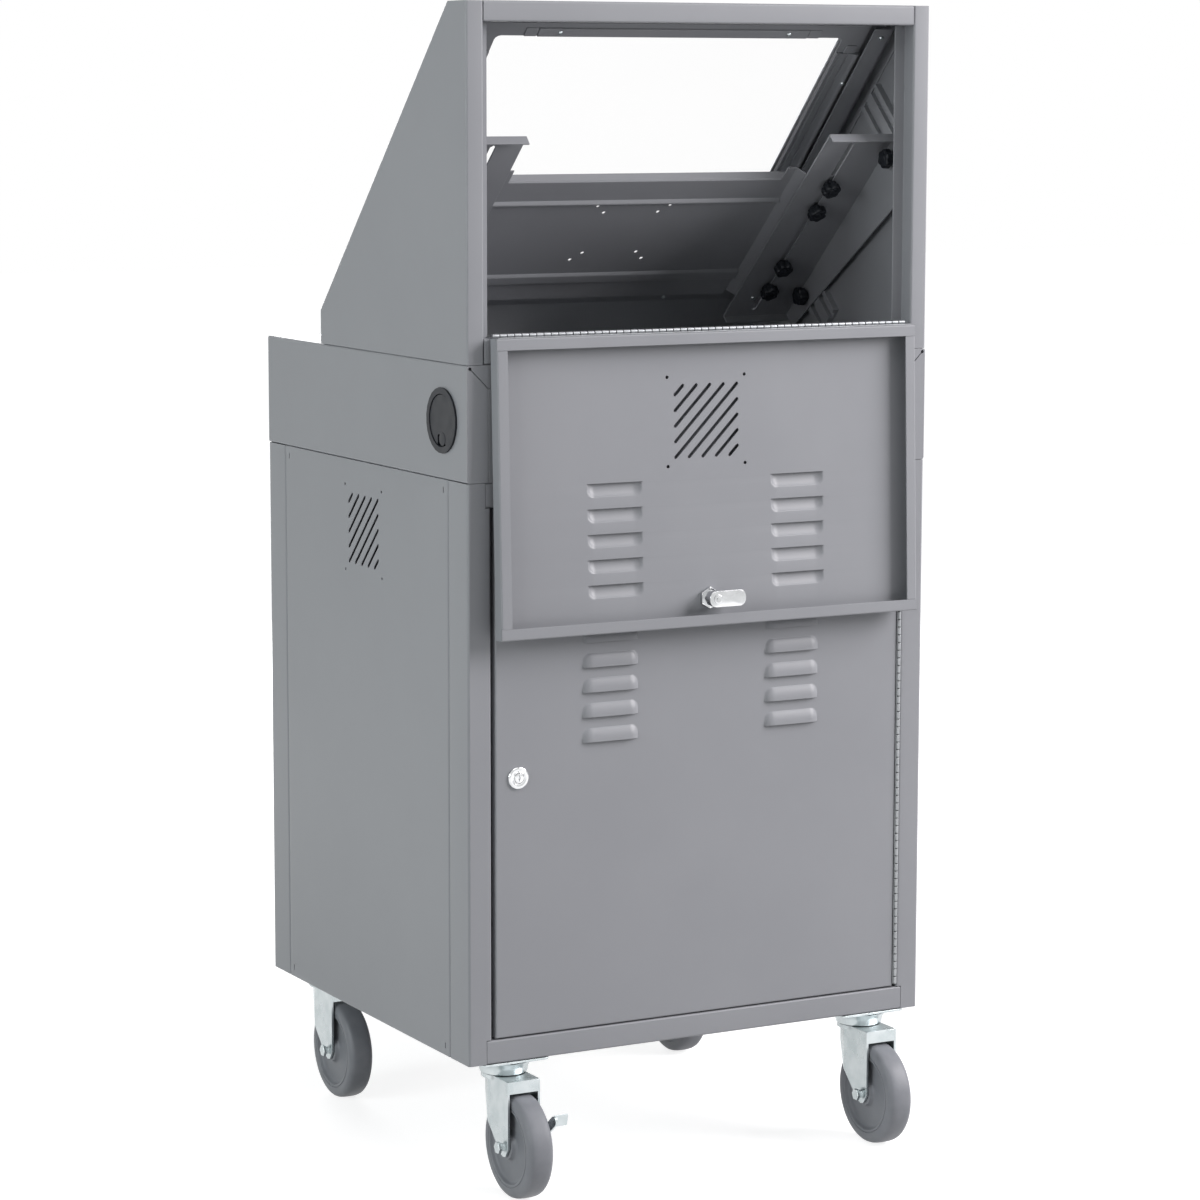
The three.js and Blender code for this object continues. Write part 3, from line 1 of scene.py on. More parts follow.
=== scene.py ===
# %% [markdown]
# # A mobile computer cabinet
# The cabinet is sheet metal, folded and powder coated, on four zinc-plated casters. Its solids come from
# the CAD step. This file keeps their shapes and places, gives every sheet soft edges and a paint finish,
# and builds anew what a quick solid can't show: pressed louvers, hinge knuckles, tyres and knobs.

import json
import math

import bmesh
import bpy
import numpy as np
from mathutils import Matrix, Vector


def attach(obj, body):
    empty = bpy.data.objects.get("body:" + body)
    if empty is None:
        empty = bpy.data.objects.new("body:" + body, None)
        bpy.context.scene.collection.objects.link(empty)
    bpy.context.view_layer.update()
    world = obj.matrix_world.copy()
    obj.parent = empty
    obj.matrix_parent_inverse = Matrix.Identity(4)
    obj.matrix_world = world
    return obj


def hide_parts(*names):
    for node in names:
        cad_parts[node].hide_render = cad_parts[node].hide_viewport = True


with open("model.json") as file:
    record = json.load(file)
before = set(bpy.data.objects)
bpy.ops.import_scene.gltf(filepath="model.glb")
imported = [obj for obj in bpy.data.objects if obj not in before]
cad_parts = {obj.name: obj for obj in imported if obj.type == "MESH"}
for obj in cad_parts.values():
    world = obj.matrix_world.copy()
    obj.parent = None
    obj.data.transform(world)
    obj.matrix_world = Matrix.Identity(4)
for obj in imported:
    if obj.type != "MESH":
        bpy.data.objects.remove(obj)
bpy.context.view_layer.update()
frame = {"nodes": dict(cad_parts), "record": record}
MM = 0.001

# %% [markdown]
# ## Camera
# The picture was taken from behind the cabinet with a long lens, so that its upright edges stay nearly
# parallel. The camera stands on a sphere round a target point: azimuth and elevation say where, and the
# focal length in pixels of a 1200 pixel frame becomes a lens on a 36 mm sensor.

# %% Camera
FRAME_PIXELS = 1200
FOCAL_PIXELS = 3724
SENSOR_MM = 36
CAMERA_AZIMUTH = math.radians(151.66)
CAMERA_ELEVATION = math.radians(7.96)
CAMERA_ROLL = math.radians(0.10)
CAMERA_DISTANCE = 4.685
TARGET_RIGHT = 0.0139
TARGET_HEIGHT = 0.6601
CENTRE_SHIFT_Y = -0.032303
NEAREST, FARTHEST = 0.1, 60


def camera_frame():
    """Right, up and back: back points from the target to the camera, and up is square to both."""
    right = Vector((math.cos(CAMERA_AZIMUTH), math.sin(CAMERA_AZIMUTH), 0))
    back = Vector((
        math.sin(CAMERA_AZIMUTH) * math.cos(CAMERA_ELEVATION),
        -math.cos(CAMERA_AZIMUTH) * math.cos(CAMERA_ELEVATION),
        math.sin(CAMERA_ELEVATION),
    ))
    return right, back.cross(right), back


camera_data = bpy.data.cameras.new("camera")
camera = bpy.data.objects.new("camera", camera_data)
bpy.context.scene.collection.objects.link(camera)
bpy.context.scene.camera = camera
camera_data.sensor_width = SENSOR_MM
camera_data.lens = FOCAL_PIXELS / FRAME_PIXELS * SENSOR_MM
camera_data.clip_start, camera_data.clip_end = NEAREST, FARTHEST
right, up, back = camera_frame()
target = right * TARGET_RIGHT + Vector((0, CENTRE_SHIFT_Y, TARGET_HEIGHT))
turn = Matrix((right, up, back)).transposed().to_4x4() @ Matrix.Rotation(CAMERA_ROLL, 4, "Z")
camera.matrix_world = Matrix.Translation(target + back * CAMERA_DISTANCE) @ turn
print("lens in mm:", round(camera_data.lens, 2))

# %% [markdown]
# ## Light
# The picture is a studio cut-out. A big soft box far to the right grazes the doors, and leaves the hood's
# inside dark, because its side wall is in the way. A box at the left lights the side, a small one between
# the two lifts the louvers' left ends, and a weak one overhead lights the ledges. The surround is dim, and
# the white behind the cabinet is only what camera, glossy and transmitted rays see, so it adds no light.

# %% World, lamps and floor
SURROUND = 0.075
SURROUND_TINT = (0.90, 1.0, 1.0, 1)
WHITE = (1, 1, 1, 1)


def seen_directly(tree):
    """One for camera, glossy and transmission rays, and zero for the rays that light surfaces."""
    path = tree.nodes.new("ShaderNodeLightPath")
    total = path.outputs["Is Camera Ray"]
    for name in ("Is Glossy Ray", "Is Transmission Ray"):
        add = tree.nodes.new("ShaderNodeMath")
        add.operation = "ADD"
        add.use_clamp = True
        tree.links.new(total, add.inputs[0])
        tree.links.new(path.outputs[name], add.inputs[1])
        total = add.outputs[0]
    return total


def seen_or_lit(tree, seen, lighting):
    """The shader that camera, glossy and transmission rays see, and the one for all other rays."""
    choice = tree.nodes.new("ShaderNodeMixShader")
    tree.links.new(seen_directly(tree), choice.inputs[0])
    tree.links.new(lighting, choice.inputs[1])
    tree.links.new(seen, choice.inputs[2])
    return choice.outputs[0]


def background(tree, colour, strength):
    """A background shader of a colour and a strength."""
    node = tree.nodes.new("ShaderNodeBackground")
    node.inputs["Color"].default_value = colour
    node.inputs["Strength"].default_value = strength
    return node.outputs[0]


world = bpy.data.worlds.new("surround")
bpy.context.scene.world = world
world.use_nodes = True
tree = world.node_tree
tree.nodes.clear()
output = tree.nodes.new("ShaderNodeOutputWorld")
dim = background(tree, SURROUND_TINT, SURROUND)
tree.links.new(seen_or_lit(tree, background(tree, WHITE, 1), dim), output.inputs["Surface"])


def soft_box(name, place, size, power, colour):
    """A square lamp at a place in metres that faces the cabinet, with its side, power in watts and colour."""
    lamp = bpy.data.lights.new(name, "AREA")
    lamp.shape = "SQUARE"
    lamp.size = size
    lamp.energy = power
    lamp.color = colour
    holder = bpy.data.objects.new(name, lamp)
    holder.location = place
    holder.rotation_euler = (MIDDLE - Vector(place)).to_track_quat("-Z", "Y").to_euler()
    holder.visible_camera = holder.visible_transmission = False
    bpy.context.scene.collection.objects.link(holder)


MIDDLE = Vector((0, 0, 0.75))
WARM = (1.0, 0.968, 0.985)
COOL = (0.93, 1.0, 1.0)
PLAIN = (1, 1, 1)
soft_box("key", (-3.2, 2.4, 2.6), 2.4, 226, WARM)
soft_box("overhead", (0.3, 1.6, 4.8), 2.6, 48, WARM)
soft_box("side", (4.4, 0.6, 1.9), 1.6, 65, COOL)
soft_box("glint", (3.4, 1.9, 1.5), 1.2, 19, PLAIN)
soft_box("front", (-1.2, -4.2, 1.1), 2.0, 110, PLAIN)

# The paper glows by itself, a little less near the cabinet, so that the shadow stays and the rest is white.
FLOOR_SIZE = 40
PAPER, PAPER_ROUGHNESS = (0.5, 0.5, 0.5, 1), 0.9
GLOW_FROM, GLOW_TO = 0.6, 2.6
GLOW_NEAR, GLOW_FAR = 0.8, 1.0
bpy.ops.mesh.primitive_plane_add(size=FLOOR_SIZE, location=(0, 0, 0))
floor = bpy.context.object
floor.name = "floor"
paper = bpy.data.materials.new("floor_paper")
paper.use_nodes = True
tree = paper.node_tree
shader = tree.nodes["Principled BSDF"]
shader.inputs["Base Color"].default_value = PAPER
shader.inputs["Roughness"].default_value = PAPER_ROUGHNESS
shader.inputs["Specular IOR Level"].default_value = 0
shader.inputs["Emission Color"].default_value = WHITE
centre = tree.nodes.new("ShaderNodeTexCoord")
reach = tree.nodes.new("ShaderNodeVectorMath")
reach.operation = "LENGTH"
tree.links.new(centre.outputs["Object"], reach.inputs[0])
spread = tree.nodes.new("ShaderNodeMapRange")
spread.interpolation_type = "SMOOTHSTEP"
limits = {"From Min": GLOW_FROM, "From Max": GLOW_TO, "To Min": GLOW_NEAR, "To Max": GLOW_FAR}
for label, value in limits.items():
    spread.inputs[label].default_value = value
tree.links.new(reach.outputs["Value"], spread.inputs["Value"])
glow = tree.nodes.new("ShaderNodeMath")
glow.operation = "MULTIPLY"
tree.links.new(seen_directly(tree), glow.inputs[0])
tree.links.new(spread.outputs["Result"], glow.inputs[1])
tree.links.new(glow.outputs[0], shader.inputs["Emission Strength"])
floor.data.materials.append(paper)
bpy.context.scene.view_settings.view_transform = "Standard"

# %% [markdown]
# ## Finishes
# Powder coat is never quite flat: the powder melts into a fine ripple, called orange peel, and its gloss
# changes a little from place to place. One node group makes that ripple from noise on Object
# coordinates, and each finish sets its own scale and strength.

# %% Shared node groups
def group_of(name, inputs, outputs):
    """A shader node group with float or colour sockets, and its input and output nodes."""
    group = bpy.data.node_groups.new(name, "ShaderNodeTree")
    for label, kind, value in inputs:
        socket = group.interface.new_socket(label, in_out="INPUT", socket_type=kind)
        socket.default_value = value
    for label, kind in outputs:
        group.interface.new_socket(label, in_out="OUTPUT", socket_type=kind)
    return group, group.nodes.new("NodeGroupInput"), group.nodes.new("NodeGroupOutput")


FLOAT = "NodeSocketFloat"
COLOUR = "NodeSocketColor"
VECTOR = "NodeSocketVector"
# Noise stays near one half, so a slow change and a blend each use only the middle of its range.
DRIFT_FROM, DRIFT_TO = 0.3, 0.7
BLEND_FROM, BLEND_TO = 0.35, 0.65
RIPPLE_DETAIL, DRIFT_DETAIL, BLEND_DETAIL = 2.0, 3.0, 4.0


def noise_in(group, scale_socket, detail):
    """Noise on Object coordinates, with its scale from a socket."""
    place = group.nodes.new("ShaderNodeTexCoord")
    noise = group.nodes.new("ShaderNodeTexNoise")
    noise.inputs["Detail"].default_value = detail
    group.links.new(place.outputs["Object"], noise.inputs["Vector"])
    group.links.new(scale_socket, noise.inputs["Scale"])
    return noise


def ripple_group():
    """Normal = a bump whose height is noise of a scale and strength."""
    group, given, result = group_of(
        "coating_ripple",
        [("Scale", FLOAT, 500.0), ("Strength", FLOAT, 0.1), ("Distance", FLOAT, 0.0001)],
        [("Normal", VECTOR)],
    )
    noise = noise_in(group, given.outputs["Scale"], RIPPLE_DETAIL)
    bump = group.nodes.new("ShaderNodeBump")
    group.links.new(noise.outputs["Fac"], bump.inputs["Height"])
    group.links.new(given.outputs["Strength"], bump.inputs["Strength"])
    group.links.new(given.outputs["Distance"], bump.inputs["Distance"])
    group.links.new(bump.outputs["Normal"], result.inputs["Normal"])
    return group


def drift_group():
    """Value = low + (high - low) x noise: a slow change over the surface."""
    group, given, result = group_of(
        "slow_drift",
        [("Scale", FLOAT, 4.0), ("Low", FLOAT, 0.4), ("High", FLOAT, 0.5)],
        [("Value", FLOAT)],
    )
    noise = noise_in(group, given.outputs["Scale"], DRIFT_DETAIL)
    spread = group.nodes.new("ShaderNodeMapRange")
    spread.inputs["From Min"].default_value = DRIFT_FROM
    spread.inputs["From Max"].default_value = DRIFT_TO
    group.links.new(noise.outputs["Fac"], spread.inputs["Value"])
    group.links.new(given.outputs["Low"], spread.inputs["To Min"])
    group.links.new(given.outputs["High"], spread.inputs["To Max"])
    group.links.new(spread.outputs["Result"], result.inputs["Value"])
    return group


def blend_group():
    """Colour = one colour turning to another by noise: flecks, blotches or clouds by its scale."""
    group, given, result = group_of(
        "two_tone",
        [("Scale", FLOAT, 40.0), ("First", COLOUR, WHITE), ("Second", COLOUR, WHITE)],
        [("Color", COLOUR)],
    )
    noise = noise_in(group, given.outputs["Scale"], BLEND_DETAIL)
    spread = group.nodes.new("ShaderNodeMapRange")
    spread.inputs["From Min"].default_value = BLEND_FROM
    spread.inputs["From Max"].default_value = BLEND_TO
    mix = group.nodes.new("ShaderNodeMix")
    mix.data_type = "RGBA"
    group.links.new(noise.outputs["Fac"], spread.inputs["Value"])
    group.links.new(spread.outputs["Result"], mix.inputs["Factor"])
    group.links.new(given.outputs["First"], mix.inputs["A"])
    group.links.new(given.outputs["Second"], mix.inputs["B"])
    group.links.new(mix.outputs["Result"], result.inputs["Color"])
    return group


RIPPLE = ripple_group()
DRIFT = drift_group()
TWO_TONE = blend_group()


def placed_group(tree, group, **values):
    """The group in a material, with its inputs set."""
    node = tree.nodes.new("ShaderNodeGroup")
    node.node_tree = group
    for label, value in values.items():
        node.inputs[label].default_value = value
    return node


def finish(name, first, second, clouds, gloss, ripple, metal=0.0, **sockets):
    """A finish: two tones and their scale, roughness from low to high, and a ripple's scale and depth."""
    material = bpy.data.materials.new(name)
    material.use_nodes = True
    tree = material.node_tree
    shader = tree.nodes["Principled BSDF"]
    tone = placed_group(tree, TWO_TONE, Scale=clouds, First=(*first, 1), Second=(*second, 1))
    rough = placed_group(tree, DRIFT, Scale=clouds / 2, Low=gloss[0], High=gloss[1])
    relief = placed_group(tree, RIPPLE, Scale=ripple[0], Strength=ripple[1])
    tree.links.new(tone.outputs["Color"], shader.inputs["Base Color"])
    tree.links.new(rough.outputs["Value"], shader.inputs["Roughness"])
    tree.links.new(relief.outputs["Normal"], shader.inputs["Normal"])
    shader.inputs["Metallic"].default_value = metal
    for label, value in sockets.items():
        shader.inputs[label.replace("_", " ")].default_value = value
    return material


# %% The cabinet's finishes
# Each has two tones, the scale of its clouds, its roughness from low to high, and its ripple.
GREY_PAINT = finish(
    "grey_powder_coat", (0.292, 0.300, 0.320), (0.304, 0.312, 0.332), 7, (0.34, 0.40), (900, 0.10),
    Specular_IOR_Level=0.35,
)
ZINC = finish("bright_zinc", (0.48, 0.53, 0.54), (0.58, 0.62, 0.63), 60, (0.22, 0.36), (300, 0.12), metal=1.0)
CHROME = finish(
    "polished_chrome", (0.60, 0.61, 0.62), (0.68, 0.69, 0.70), 90, (0.08, 0.14), (500, 0.03), metal=1.0,
)
STEEL = finish(
    "hinge_steel", (0.29, 0.30, 0.31), (0.33, 0.34, 0.35), 60, (0.42, 0.50), (900, 0.02), metal=1.0,
)
RUBBER = finish("grey_tyre", (0.200, 0.209, 0.230), (0.224, 0.233, 0.254), 60, (0.42, 0.58), (1200, 0.15))
BLACK = finish(
    "black_moulding", (0.009, 0.011, 0.015), (0.014, 0.017, 0.022), 150, (0.40, 0.52), (1500, 0.2),
    Specular_IOR_Level=0.3,
)
# The sheet shows no reflection in the picture, so its index is set low.
PANE = bpy.data.materials.new("clear_sheet")
PANE.use_nodes = True
clear = PANE.node_tree.nodes["Principled BSDF"]
clear.inputs["Base Color"].default_value = WHITE
clear.inputs["Roughness"].default_value = 0.02
clear.inputs["IOR"].default_value = 1.15
clear.inputs["Specular IOR Level"].default_value = 0.2
clear.inputs["Transmission Weight"].default_value = 1.0
print("finishes:", [material.name for material in (GREY_PAINT, ZINC, CHROME, STEEL, RUBBER, BLACK, PANE)])

# %% [markdown]
# ## Surfaces from two parameters
# Each piece that the CAD nodes only hint at is built anew as a surface: an array of points that follow
# two parameters, with quads between neighbours. Sizes are in mm in a frame of the cabinet's own: a door
# has u to the right, v up and w outwards, so its folds and louvers are written as on a drawing.

# %% Frames and surfaces
def frame_of(origin, right, up):
    """A frame: columns right, up, out = right x up, and the origin, in mm."""
    made = np.eye(4)
    made[:3, 0], made[:3, 1] = right, up
    made[:3, 2] = np.cross(right, up)
    made[:3, 3] = origin
    return made


def shifted(place, u=0.0, v=0.0, w=0.0, turn=0.0):
    """The frame moved along its own axes, then turned about its out axis by degrees."""
    step = np.eye(4)
    angle = math.radians(turn)
    step[:2, :2] = [[math.cos(angle), -math.sin(angle)], [math.sin(angle), math.cos(angle)]]
    step[:3, 3] = (u, v, w)
    return place @ step


# How near points are merged, and edges count as nothing, in metres.
MERGE_WITHIN, CAD_MERGE_WITHIN, SHORTEST_EDGE = 2e-6, 2e-5, 1e-7


def tidied(mesh, closed=True):
    """Merges points that coincide and drops faces without area; a closed piece turns its faces outwards."""
    work = bmesh.new()
    work.from_mesh(mesh)
    bmesh.ops.remove_doubles(work, verts=work.verts, dist=MERGE_WITHIN)
    bmesh.ops.dissolve_degenerate(work, edges=work.edges, dist=SHORTEST_EDGE)
    if closed:
        bmesh.ops.recalc_face_normals(work, faces=work.faces)
    work.to_mesh(mesh)
    work.free()
    return mesh


def surface(name, place, points, wrap=(False, True), keep=None, closed=True):
    """points[..., row, column] in mm in a frame: neighbours become quads, a wrapped side joins its ends."""
    rows, cols = points.shape[-3:-1]
    pieces = points.reshape(-1, 3).shape[0] // (rows * cols)
    row, col = np.meshgrid(np.arange(rows - 1 + wrap[0]), np.arange(cols - 1 + wrap[1]), indexing="ij")
    under, beside = (row + 1) % rows, (col + 1) % cols
    quads = np.stack([row * cols + col, row * cols + beside, under * cols + beside, under * cols + col], -1)
    quads = quads.reshape(-1, 4) if keep is None else quads[keep]
    quads = quads + (np.arange(pieces) * rows * cols)[:, None, None]
    world = (points.reshape(-1, 3) @ place[:3, :3].T + place[:3, 3]) * MM
    mesh = bpy.data.meshes.new(name)
    mesh.from_pydata(world.tolist(), [], quads.reshape(-1, 4).tolist())
    made = bpy.data.objects.new(name, tidied(mesh, closed))
    bpy.context.scene.collection.objects.link(made)
    return made


def spun(profile, sides=48, radius=None):
    """(r, z) pairs carried once round the z axis: x = r k cos t, y = r k sin t, with k = radius(t, row)."""
    profile = np.asarray(profile, float)
    angle = np.linspace(0, 2 * math.pi, sides, endpoint=False)
    reach = np.repeat(profile[:, :1], sides, 1) if radius is None else radius(profile[:, :1], angle[None, :])
    height = np.broadcast_to(profile[:, 1:2], reach.shape)
    return np.stack([reach * np.cos(angle), reach * np.sin(angle), height], -1)


def slab(outline, low, high, edge=0.3):
    """A closed outline as a plate from low to high: the rings step in by a share at each rim, then close."""
    outline = np.asarray(outline, float)
    middle = outline.mean(0)
    size = np.abs(outline - middle).max(0)
    rims = [(0, low), (1, low), (2, low + edge), (2, high - edge), (1, high), (0, high)]
    share = {0: np.zeros(2), 1: 1 - edge / size, 2: np.ones(2)}
    rings = [np.c_[middle + (outline - middle) * share[kind], np.full(len(outline), z)] for kind, z in rims]
    return np.stack(rings)


def long_round(run, width, centre=(0, 0), lean=0.0, steps=9):
    """The outline of a long hole: two half circles of the width, a run apart, turned by degrees."""
    angle = np.linspace(-90, 90, steps)
    turns = np.radians(np.r_[angle, angle + 180])
    ends = np.r_[np.full(steps, run / 2), np.full(steps, -run / 2)]
    x, y = ends + width / 2 * np.cos(turns), width / 2 * np.sin(turns)
    c, s = math.cos(math.radians(lean)), math.sin(math.radians(lean))
    return np.c_[centre[0] + c * x - s * y, centre[1] + s * x + c * y]


def oblong(u0, u1, v0, v1, corner=0.0, steps=6):
    """The outline of a rectangle with round corners."""
    angle = np.radians(np.linspace(0, 90, steps) if corner else np.zeros(1))
    quarter = corner * np.c_[np.cos(angle), np.sin(angle)]
    corners = [(u1 - corner, v1 - corner, 0), (u0 + corner, v1 - corner, 1),
               (u0 + corner, v0 + corner, 2), (u1 - corner, v0 + corner, 3)]
    turned = [(quarter[:, 0], quarter[:, 1]), (-quarter[:, 1], quarter[:, 0]),
              (-quarter[:, 0], -quarter[:, 1]), (quarter[:, 1], -quarter[:, 0])]
    return np.concatenate([np.c_[u + turned[k][0], v + turned[k][1]] for u, v, k in corners])


# Where the sheets are, in mm: the skins of the closed doors, the foot of the doorways and the hinge lines.
REAR_SKIN = 253.447
FRONT_SKIN = -318.053
DOORWAY_FOOT = 163
HINGE_PROUD = 1
UPPER_HINGE_HEIGHT = 1018
HANG = math.radians(178)
PLATE_TILT = math.radians(42.6)
PLATE_MIDDLE = (0, 46.797, 1123.4)
SLOPE_FOOT = (0, -153.553, 1026.6)
SLOPE_ALONG = (0, 0.69641, 0.71764)

REAR_LOWER = frame_of((0, REAR_SKIN, DOORWAY_FOOT), (-1, 0, 0), (0, 0, 1))
FRONT = frame_of((0, FRONT_SKIN, DOORWAY_FOOT), (1, 0, 0), (0, 0, 1))
UPPER_PIN = (0, REAR_SKIN + HINGE_PROUD, UPPER_HINGE_HEIGHT)
UPPER_HINGE = frame_of(UPPER_PIN, (-1, 0, 0), (0, math.sin(HANG), math.cos(HANG)))
UPPER = shifted(UPPER_HINGE, w=-HINGE_PROUD)
PLATE = frame_of(PLATE_MIDDLE, (1, 0, 0), (0, math.cos(PLATE_TILT), math.sin(PLATE_TILT)))
SLOPE = frame_of(SLOPE_FOOT, (1, 0, 0), SLOPE_ALONG)
print("frames ready")

# %% [markdown]
# ## Sheets with soft edges
# A CAD node is exact but hard-edged. A copy is merged, its flat faces are joined, and a small bevel
# rounds the sheared edges, so that each catches a line of light as painted sheet does. Weighted normals
# keep the flats flat beside the bends.

# %% Softening, cutting and placing
SOFT_ANGLE = math.radians(50)
FLAT_ANGLE = math.radians(0.5)
SLOTS = {row["node"]: row["material_slot"] for row in frame["record"]["subparts"]}
BODY_OF = {node: body for body, nodes in frame["record"]["behaviour"]["bodies"].items() for node in nodes}


def merged_copy(node):
    """A new object with the node's mesh, its doubles merged and its flat faces joined."""
    mesh = frame["nodes"][node].data.copy()
    mesh.name = node + "_dressed"
    work = bmesh.new()
    work.from_mesh(mesh)
    bmesh.ops.remove_doubles(work, verts=work.verts, dist=CAD_MERGE_WITHIN)
    bmesh.ops.dissolve_limit(work, angle_limit=FLAT_ANGLE, verts=work.verts, edges=work.edges)
    work.to_mesh(mesh)
    work.free()
    mesh.materials.clear()
    made = bpy.data.objects.new(node + "_dressed", mesh)
    bpy.context.scene.collection.objects.link(made)
    return made


def applied(obj):
    """Turns the object's modifiers into its mesh."""
    seen = obj.evaluated_get(bpy.context.evaluated_depsgraph_get())
    mesh = bpy.data.meshes.new_from_object(seen)
    obj.modifiers.clear()
    obj.data = mesh
    return obj


def cut_by(obj, place, tools):
    """Cuts closed tools, each an array of rings in mm in a frame, out of the object."""
    for rings in tools:
        tool = surface("tool", place, rings)
        gap = obj.modifiers.new("cut", "BOOLEAN")
        gap.operation = "DIFFERENCE"
        gap.solver = "EXACT"
        gap.object = tool
        applied(obj)
        bpy.data.objects.remove(tool)
    return obj


def softened(obj, width):
    """Bevels every sharp edge by a width in mm, and shades bends smooth with flats kept flat."""
    obj.data.polygons.foreach_set("use_smooth", np.ones(len(obj.data.polygons), bool))
    obj.data.set_sharp_from_angle(angle=SOFT_ANGLE)
    if width:
        edge = obj.modifiers.new("sheared edge", "BEVEL")
        edge.width = width * MM
        edge.segments = 2
        edge.limit_method = "ANGLE"
        edge.angle_limit = SOFT_ANGLE
        edge.use_clamp_overlap = False
    even = obj.modifiers.new("flat faces", "WEIGHTED_NORMAL")
    even.keep_sharp = True
    return obj


def placed(obj, body, material, replaces=None, width=0.0):
    """Gives a piece its finish and edges, lets it ride its body, and hides the node that it stands for."""
    softened(obj, width)
    obj.data.materials.clear()
    obj.data.materials.append(material)
    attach(obj, body)
    if replaces:
        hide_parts(replaces)
    return obj


print("nodes in the frame:", len(SLOTS))

# %% [markdown]
# ## Doors
# Each door is one sheet: a skin whose four edges fold back as walls and then inwards as lips, stiff
# enough to hang flat. The louvers are pressed from the same sheet with a punch that cuts the straight
# edge and stretches the rest, so each is a smooth half-dome with an open mouth. The sheet is drawn as a
# height over a grid, with two rows of points along each cut, and is then given its thickness.

# %% The door sheet
SHEET = 1.5
DOOR_DEPTH = 18
DOOR_LIP = 13.5
LOUVER_HALF = 37.5
LOUVER_HEIGHT = 17
LOUVER_RISE = 5.0
LOUVER_END = 12.5
LOUVER_FACE = 3
LOUVER_LEAN = 0.16
LOUVER_FULLNESS = 0.75
LOUVER_COLUMNS = np.array([-124.3, 124.3])
LOUVER_STEPS_ACROSS, LOUVER_STEPS_UP = 51, 16
LIP_GAP = 0.3
FLAT, BEND, WALL, LIP = range(4)


def fold(radius=2.0, steps=5):
    """From a flat sheet over an edge: how far beyond the edge, how far down, and the kind of each strip."""
    turn = np.linspace(0, math.pi / 2, steps)
    over = np.r_[radius * np.sin(turn) - radius, radius * np.cos(turn) - radius, -DOOR_LIP]
    down = np.r_[radius - radius * np.cos(turn), DOOR_DEPTH - radius + radius * np.sin(turn), DOOR_DEPTH]
    kind = [BEND] * (steps - 1) + [WALL] + [LIP] * steps
    return over, down, np.array(kind)


def door_lines(low, high, inner):
    """Grid lines across a door from lip to lip, with each line's depth and each strip's kind."""
    over, down, kind = fold()
    inner = np.sort(np.asarray(inner, float))
    lines = np.r_[low - over[::-1], inner, high + over]
    depth = np.r_[down[::-1], np.zeros(len(inner)), down]
    return lines, depth, np.r_[kind[::-1], np.full(len(inner) + 1, FLAT), kind]


def louver_height(u, v, mouths):
    """rise x (1 - s^2)^fullness x (1 - lean x height): s is 0 on the flat face and 1 at the louver's rim."""
    total = np.zeros(np.broadcast_shapes(u.shape, v.shape))
    for column in LOUVER_COLUMNS:
        for mouth in mouths:
            beyond = np.maximum(np.abs(u - column) - (LOUVER_HALF - LOUVER_END), 0) / LOUVER_END
            height = (v - mouth) / LOUVER_HEIGHT
            above = np.maximum(height * LOUVER_HEIGHT - LOUVER_FACE, 0) / (LOUVER_HEIGHT - LOUVER_FACE)
            inside = np.clip(1 - beyond**2 - above**2, 0, 1) * (height >= 0)
            total = total + LOUVER_RISE * inside**LOUVER_FULLNESS * (1 - LOUVER_LEAN * np.maximum(height, 0))
    return total


def door_sheet(name, place, left, right, bottom, top, mouths):
    """points (u, v, louver height - fold depth) over all grid lines, less the strips at cuts and corners."""
    across = LOUVER_COLUMNS[:, None] + np.linspace(-LOUVER_HALF, LOUVER_HALF, LOUVER_STEPS_ACROSS)
    across = across.ravel() if len(mouths) else []
    split = 1e-4
    rise_steps = LOUVER_HEIGHT * np.linspace(0, 1, LOUVER_STEPS_UP)[1:]
    up = [np.r_[mouth - split, mouth, mouth + rise_steps] for mouth in mouths]
    up = np.concatenate(up + [[bottom + DOOR_LIP + LIP_GAP, top - DOOR_LIP - LIP_GAP]])
    u, deep_u, kind_u = door_lines(left, right, across)
    v, deep_v, kind_v = door_lines(bottom, top, up)
    rise = louver_height(u[None, :], v[:, None], mouths)
    line_u = np.minimum(np.r_[LIP, kind_u], np.r_[kind_u, LIP])
    line_v = np.minimum(np.r_[LIP, kind_v], np.r_[kind_v, LIP])
    over_u, over_v = (line_u >= WALL)[None, :], (line_v >= WALL)[:, None]
    depth = np.maximum(deep_u[None, :], deep_v[:, None])
    depth = np.where(over_v, deep_v[:, None], np.where(over_u, deep_u[None, :], depth))
    points = np.stack(np.broadcast_arrays(u[None, :], v[:, None], rise - depth), -1)
    row, col = kind_v[:, None], kind_u[None, :]
    inside = (v[:-1] > bottom + DOOR_LIP) & (v[1:] < top - DOOR_LIP)
    keep = ((row <= BEND) & (col <= BEND)) | ((row == WALL) & (col <= BEND)) | ((row <= BEND) & (col == WALL))
    keep |= ((row == LIP) & (col <= BEND)) | ((col == LIP) & (row == FLAT) & inside[:, None])
    keep &= ~np.isclose(np.diff(v), split, atol=split / 2)[:, None]
    sheet = surface(name, place, points, wrap=(False, False), keep=keep, closed=False)
    thick = sheet.modifiers.new("sheet", "SOLIDIFY")
    thick.thickness = SHEET * MM
    thick.offset = -1
    return applied(sheet)


VENT_PAIRS = 4
VENT_STEP = 18.4
VENT_SPAN = 84
VENT_SLOT = 4
VENT_SCREW_OUT = 52.5
LOCK_HOLE = 19.4
CUT_DEPTH = 8
ROUND = 0.01


